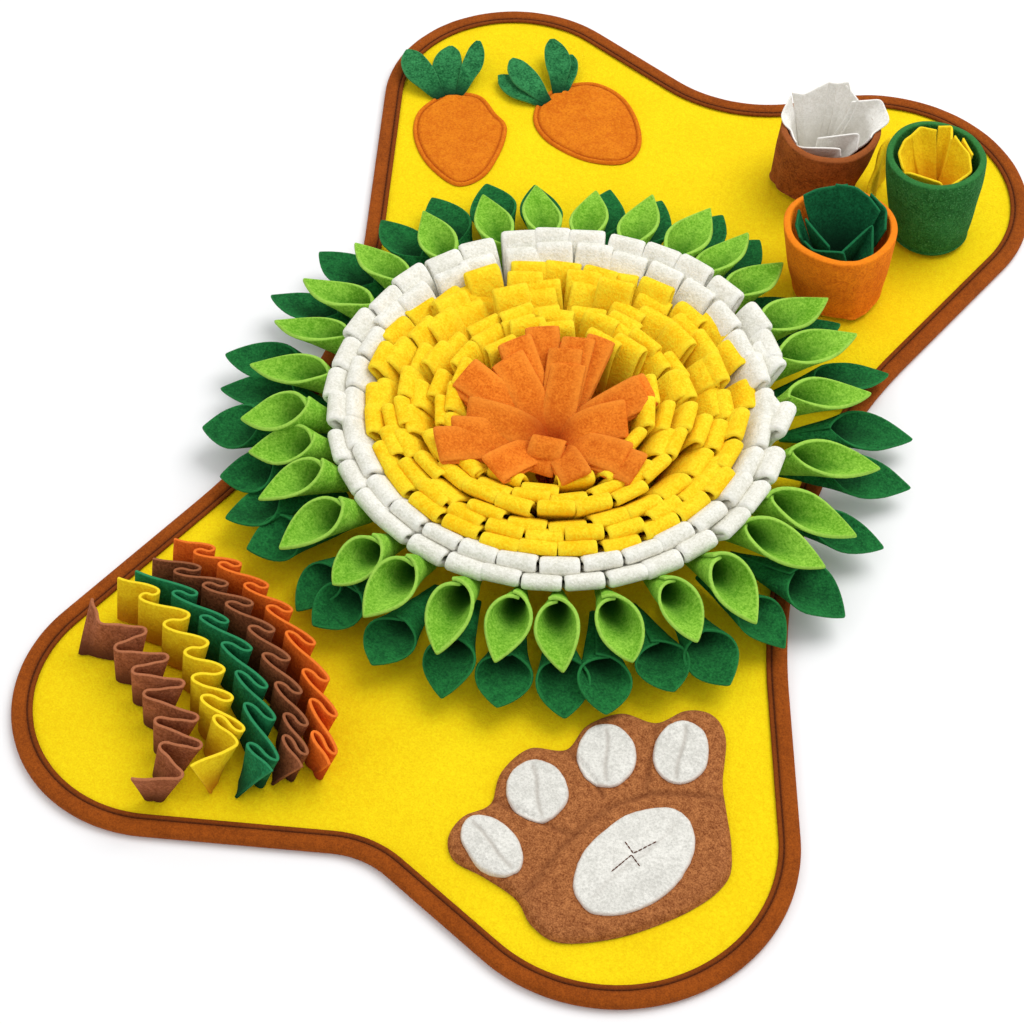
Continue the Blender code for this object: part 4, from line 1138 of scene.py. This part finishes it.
def addRuffle(row, seed):
    name, height, felt, slot, endFoot, folds = row
    form = ruffleForm
    chance = random.Random(seed)

    def spots(rows, level, uneven):
        return np.array([(*(ruffleCentre + reach * heading(angle)[0]), level - uneven * chance.random())
                         for angle, reach in rows])

    upper = [(angle, reach / 1000) for angle, reach in folds]
    reaches = np.pad([reach for angle, reach in upper], 3, mode="edge")
    means = np.convolve(reaches, np.ones(7) / 7, mode="valid")
    lower = [(angle, float(mean + form["footSwing"] * (reach - mean) - form["lean"]))
             for (angle, reach), mean in zip(upper, means)]
    lower[-1] = (endFoot[0], endFoot[1] / 1000)
    lower[0] = form["rearFoot"].get(name, lower[0])
    turn = form["turn"].get(name, form["otherTurn"])
    top = pleatLine(spots(upper, height, 0.0022), turn)
    foot = pleatLine(spots(lower, mat["sewnOn"] + 0.0002, 0.0), turn)
    grid = np.zeros((len(form["levels"]), len(top), 3))
    for i, share in enumerate(form["levels"]):
        grid[i] = foot + (top - foot) * share
        grid[i, :, :2] += (top - foot)[:, :2] * 0.12 * (share ** 1.5 - share)
        grid[i, :, 2] += 0.001 * share * (np.array([wave(spot, 0.02, seed) for spot in grid[i]]) - 1)
    # painted shade towards the foot, on both sides
    deep = smoothStep(0.75, 0.0, np.array(form["levels"]))
    batch = newBatch()
    addCloth(batch, grid, form["cloth"], deep, edge=0.0008, outer=1.0)
    piece = makePiece(name, batch, felt, ["ruffle_" + name.removesuffix("Ruffle")])


for number, row in enumerate(ruffles):
    addRuffle(row, 90 + number)
print("ruffles")


carrots = {
    "thick": 0.0022, "edge": 0.0014, "swell": 0.0005, "sink": 0.0003, "stitchStep": 0.003,
    "groove": 0.0036, "grooveDepth": 0.0011, "grooveWidth": 0.0008,
    "carrotLeft": (
        (-0.202, 0.276), (-0.194, 0.284), (-0.172, 0.287), (-0.154, 0.273), (-0.144, 0.266), (-0.139, 0.256),
        (-0.136, 0.236), (-0.137, 0.21), (-0.146, 0.194), (-0.159, 0.191), (-0.184, 0.205), (-0.203, 0.228),
        (-0.21, 0.253)),
    "carrotRight": (
        (-0.12, 0.318), (-0.097, 0.332), (-0.071, 0.325), (-0.05, 0.302), (-0.04, 0.276),
        (-0.047, 0.256), (-0.074, 0.249), (-0.105, 0.257), (-0.124, 0.274), (-0.129, 0.297)),
}


def carrotHeight(flat, inside):
    form = carrots
    groove = form["grooveDepth"] * np.exp(-((inside - form["groove"]) / form["grooveWidth"]) ** 2)
    rise = form["thick"] * roundEdge(inside, form["edge"]) + form["swell"] * smoothStep(0.003, 0.012, inside)
    rise -= form["sink"]
    uneven = ripples(flat, (0.0005, 0.013, 4), (0.0003, 0.006, 5)) * smoothStep(0.001, 0.004, inside)
    # the groove gets painted shade
    return mat["sewnOn"] + rise - groove + uneven, np.clip(groove / 0.0016, 0, 1)


def addCarrots():
    stitches = []
    for name in ("carrotLeft", "carrotRight"):
        loop = smoothLoop(carrots[name], 14)
        batch = newBatch()
        addPatch(batch, loop, loop.mean(axis=0), 26, mat["sewnOn"], carrotHeight,
                 (1.0, 0.992, 0.975, 0.955, 0.935, 0.915, 0.9, 0.88))
        piece = makePiece(name, batch, "carrotFelt", [nodeOf(name)], 0)
        following = np.roll(loop, -1, axis=0)
        run = unit(following - np.roll(loop, 1, axis=0))
        seam = loop + carrots["groove"] * np.stack([run[:, 1], -run[:, 0]], axis=1)
        stitches += stitchPlaces(seam, carrots["stitchStep"], mat["sewnOn"] + carrots["thick"] - 0.0009)
    return stitches


carrotStitches = addCarrots()
carrotLeaves = {
    "cloth": 0.0022, "lift": 0.0036, "layer": 0.0026, "joined": 0.0058, "lowest": 0.0012, "bend": 0.06,
    "rows": (
        # root x, root y, tip x, tip y, width, tip height, layer, curl
        (-0.1991, 0.2738, -0.2393, 0.3036, 0.023, 0.017, 1, 0.16),
        (-0.1877, 0.2812, -0.1908, 0.3295, 0.016, 0.02, 2, -0.22),
        (-0.1936, 0.2789, -0.2114, 0.3252, 0.023, 0.012, 0, 0.1),
        (-0.1209, 0.2977, -0.1607, 0.3222, 0.021, 0.017, 1, 0.16),
        (-0.1181, 0.3093, -0.1384, 0.3518, 0.02, 0.02, 2, -0.18),
        (-0.1141, 0.3123, -0.122, 0.3485, 0.02, 0.012, 0, 0.1),
        (-0.123, 0.2954, -0.1658, 0.309, 0.019, 0.01, 0, 0.08),
    ),
}


def addCarrotLeaf(row, number):
    rootX, rootY, tipX, tipY, width, tipHeight, layer, curl = row
    root = np.array([rootX, rootY])
    along = np.array([tipX, tipY]) - root
    length = float(np.linalg.norm(along))
    along = along / length
    across = np.array([-along[1], along[0]])
    name = f"carrotLeaf{number}"
    form = carrotLeaves
    floor = mat["sewnOn"] + form["lift"] + layer * form["layer"]     # leaves lie over one another
    rows, cols = 11, 7
    grid = np.zeros((rows, cols, 3))
    for i in range(rows):
        share = i / (rows - 1)
        taper = max(1 - max(0.0, share - 0.55) ** 2 / 0.2026, 0.0) ** 0.5
        half = max(0.5 * width * (0.34 + 0.66 * min(share / 0.45, 1.0)) * taper, 0.0012)
        for j in range(cols):
            u = -1 + 2 * j / (cols - 1)
            level = floor + (tipHeight - floor) * share ** 1.3
            level = form["joined"] + (level - form["joined"]) * float(smoothStep(0.0, 0.35, share))
            cup = curl * half * (u * u - 0.3) + 0.001 * wave((share, u, 0), 0.6, number)
            bend = form["bend"] * length * math.sin(math.pi * share) * (1 if curl > 0 else -1)
            x, y = root + share * length * along + (u * half + bend) * across
            grid[i, j] = (x, y, max(level + cup * share, mat["sewnOn"] + form["lowest"]))
    batch = newBatch()
    # painted shade near the root
    addCloth(batch, grid[:, ::-1], form["cloth"], smoothStep(0.3, 0.0, np.linspace(0, 1, rows)), edge=0.0009)
    piece = makePiece(name, batch, "carrotLeafFelt", [nodeOf(name)])


for number, row in enumerate(carrotLeaves["rows"]):
    addCarrotLeaf(row, number + 1)
print("carrots")


paw = {
    "thick": 0.0068, "edge": 0.0095, "centre": (0.142, -0.28),
    "outline": (
        (0.047, -0.325), (0.05, -0.309), (0.062, -0.295), (0.06, -0.272), (0.07, -0.25), (0.091, -0.243),
        (0.097, -0.222), (0.114, -0.206), (0.136, -0.205), (0.15, -0.19), (0.166, -0.187), (0.179, -0.199),
        (0.187, -0.23), (0.194, -0.246), (0.206, -0.272), (0.21, -0.294), (0.196, -0.32), (0.166, -0.349),
        (0.134, -0.366), (0.114, -0.362), (0.099, -0.349), (0.076, -0.342), (0.056, -0.338)),
    "creases": (
        # depth, half width, line
        (0.0018, 0.0018, ((0.194, -0.243), (0.172, -0.249), (0.15, -0.256), (0.133, -0.271), (0.122, -0.288),
                          (0.112, -0.312), (0.108, -0.33), (0.104, -0.346))),
        (0.0018, 0.0017, ((0.088, -0.24), (0.098, -0.248), (0.112, -0.258), (0.124, -0.268))),
        (0.0016, 0.0017, ((0.137, -0.203), (0.14, -0.216), (0.142, -0.234), (0.146, -0.254))),
        (0.0016, 0.0018, ((0.056, -0.29), (0.072, -0.296), (0.092, -0.298), (0.112, -0.3))),
    ),
}
pads = (
    # piece, x, y, half length, half width, turn
    ("toePad1", 0.0745, -0.324, 0.0235, 0.015, 148.0),
    ("toePad2", 0.0862, -0.2795, 0.0215, 0.0185, 120.0),
    ("toePad3", 0.1165, -0.2412, 0.0225, 0.018, 110.0),
    ("toePad4", 0.158, -0.2232, 0.023, 0.0168, 100.0),
    ("palmPad", 0.1565, -0.3042, 0.043, 0.0275, 66.0),
)
padForm = {"under": 0.0002, "lift": 0.0003, "thick": 0.0016, "edge": 0.0012, "crease": 0.0008,
           "palmCrease": 0.0003, "creaseWidth": 0.0013}
pawLoop = smoothLoop(paw["outline"], 9)


def pawTop(flat, inside):
    dent = np.zeros(len(flat))
    for depth, wide, line in paw["creases"]:
        dent = np.maximum(dent, depth * np.exp(-(lineDistance(flat, np.array(line)) / wide) ** 2))
    uneven = ripples(flat, (0.0006, 0.022, 8), (0.0003, 0.009, 9)) * np.clip(inside / paw["edge"], 0, 1)
    rise = paw["thick"] * roundEdge(inside, paw["edge"]) ** 0.9
    level = mat["sewnOn"] + rise - dent * smoothStep(0.0, 0.004, inside) + uneven
    # the creases get painted shade
    return level, np.clip(dent / 0.0045, 0, 0.5)


def onPaw(flat):
    return pawTop(flat, lineDistance(flat, closedLine(pawLoop)))[0]


def addPaw():
    batch = newBatch()
    addPatch(batch, pawLoop, paw["centre"], 46, mat["sewnOn"], pawTop,
             (1.0, 0.994, 0.985, 0.972, 0.955, 0.935, 0.91))
    piece = makePiece("pawCushion", batch, "pawFleece", ["paw"], 0)


def addPad(row, number):
    name, x, y, halfLength, halfWidth, turn = row
    forward, left = heading(turn)
    middle = np.array([x, y])
    loop = []
    for angle in (math.tau * i / 72 for i in range(72)):
        c, s = math.cos(angle), math.sin(angle)
        blunt = 1 + 0.035 * wave((c, s, 0), 0.5, number) + 0.012 * wave((c, s, 0), 0.12, number)
        loop.append(middle + blunt * (halfLength * c * forward - halfWidth * s * left))
    line = np.array([middle + 0.8 * s * halfLength * forward - 0.05 * halfWidth * math.sin(3 * s) * left
                     for s in np.linspace(-1, 1, 9)])
    form = padForm
    crease = form["palmCrease" if name == "palmPad" else "crease"]

    def padTop(flat, inside):
        uneven = ripples(flat, (0.0004, 0.012, 3)) * smoothStep(0.001, 0.004, inside)
        dent = crease * np.exp(-(lineDistance(flat, line) / form["creaseWidth"]) ** 2)
        rise = form["lift"] + form["thick"] * roundEdge(inside, form["edge"])
        # the crease gets painted shade
        return onPaw(flat) + rise + uneven - dent, dent / 0.0014

    batch = newBatch()
    addPatch(batch, np.array(loop), middle, 20, lambda flat: onPaw(flat) + form["under"], padTop,
             (1.0, 0.985, 0.965, 0.94))
    piece = makePiece(name, batch, "padFelt", [nodeOf(name)], 0)


addPaw()
for number, row in enumerate(pads):
    addPad(row, number)
print("paw")


threads = {
    "carrot": (0.0026, 0.0006), "palm": (0.003, 0.0008),            # length and thickness of one stitch
    "palmStep": 0.0027, "palmHeight": 0.0021,
    "palmLines": (
        # the threads that draw the palm in
        ((0.1463, -0.3164), (0.1535, -0.3018)), ((0.1469, -0.2947), (0.1541, -0.3004)),
        ((0.1541, -0.3004), (0.1643, -0.2881)), ((0.1535, -0.3018), (0.1606, -0.3074)),
    ),
}


def addThreads():
    setOut("carrotStitches", [stitchShape(*threads["carrot"])], carrotStitches, "carrotThread",
           [], seed=4, rounding=0)
    places = []
    for line in threads["palmLines"]:
        raised = [(x, y, float(onPaw(np.array([[x, y]]))[0]) + threads["palmHeight"]) for x, y in line]
        places += stitchPlaces(raised, threads["palmStep"], 0.0, closed=False)
    setOut("palmStitches", [stitchShape(*threads["palm"])], places, "darkThread", [], seed=5,
           rounding=0)


addThreads()

cadOnly = [nodeName for nodeName, body in frame["nodes"].items() if not body.hide_render]
print("solids still shown:", cadOnly)
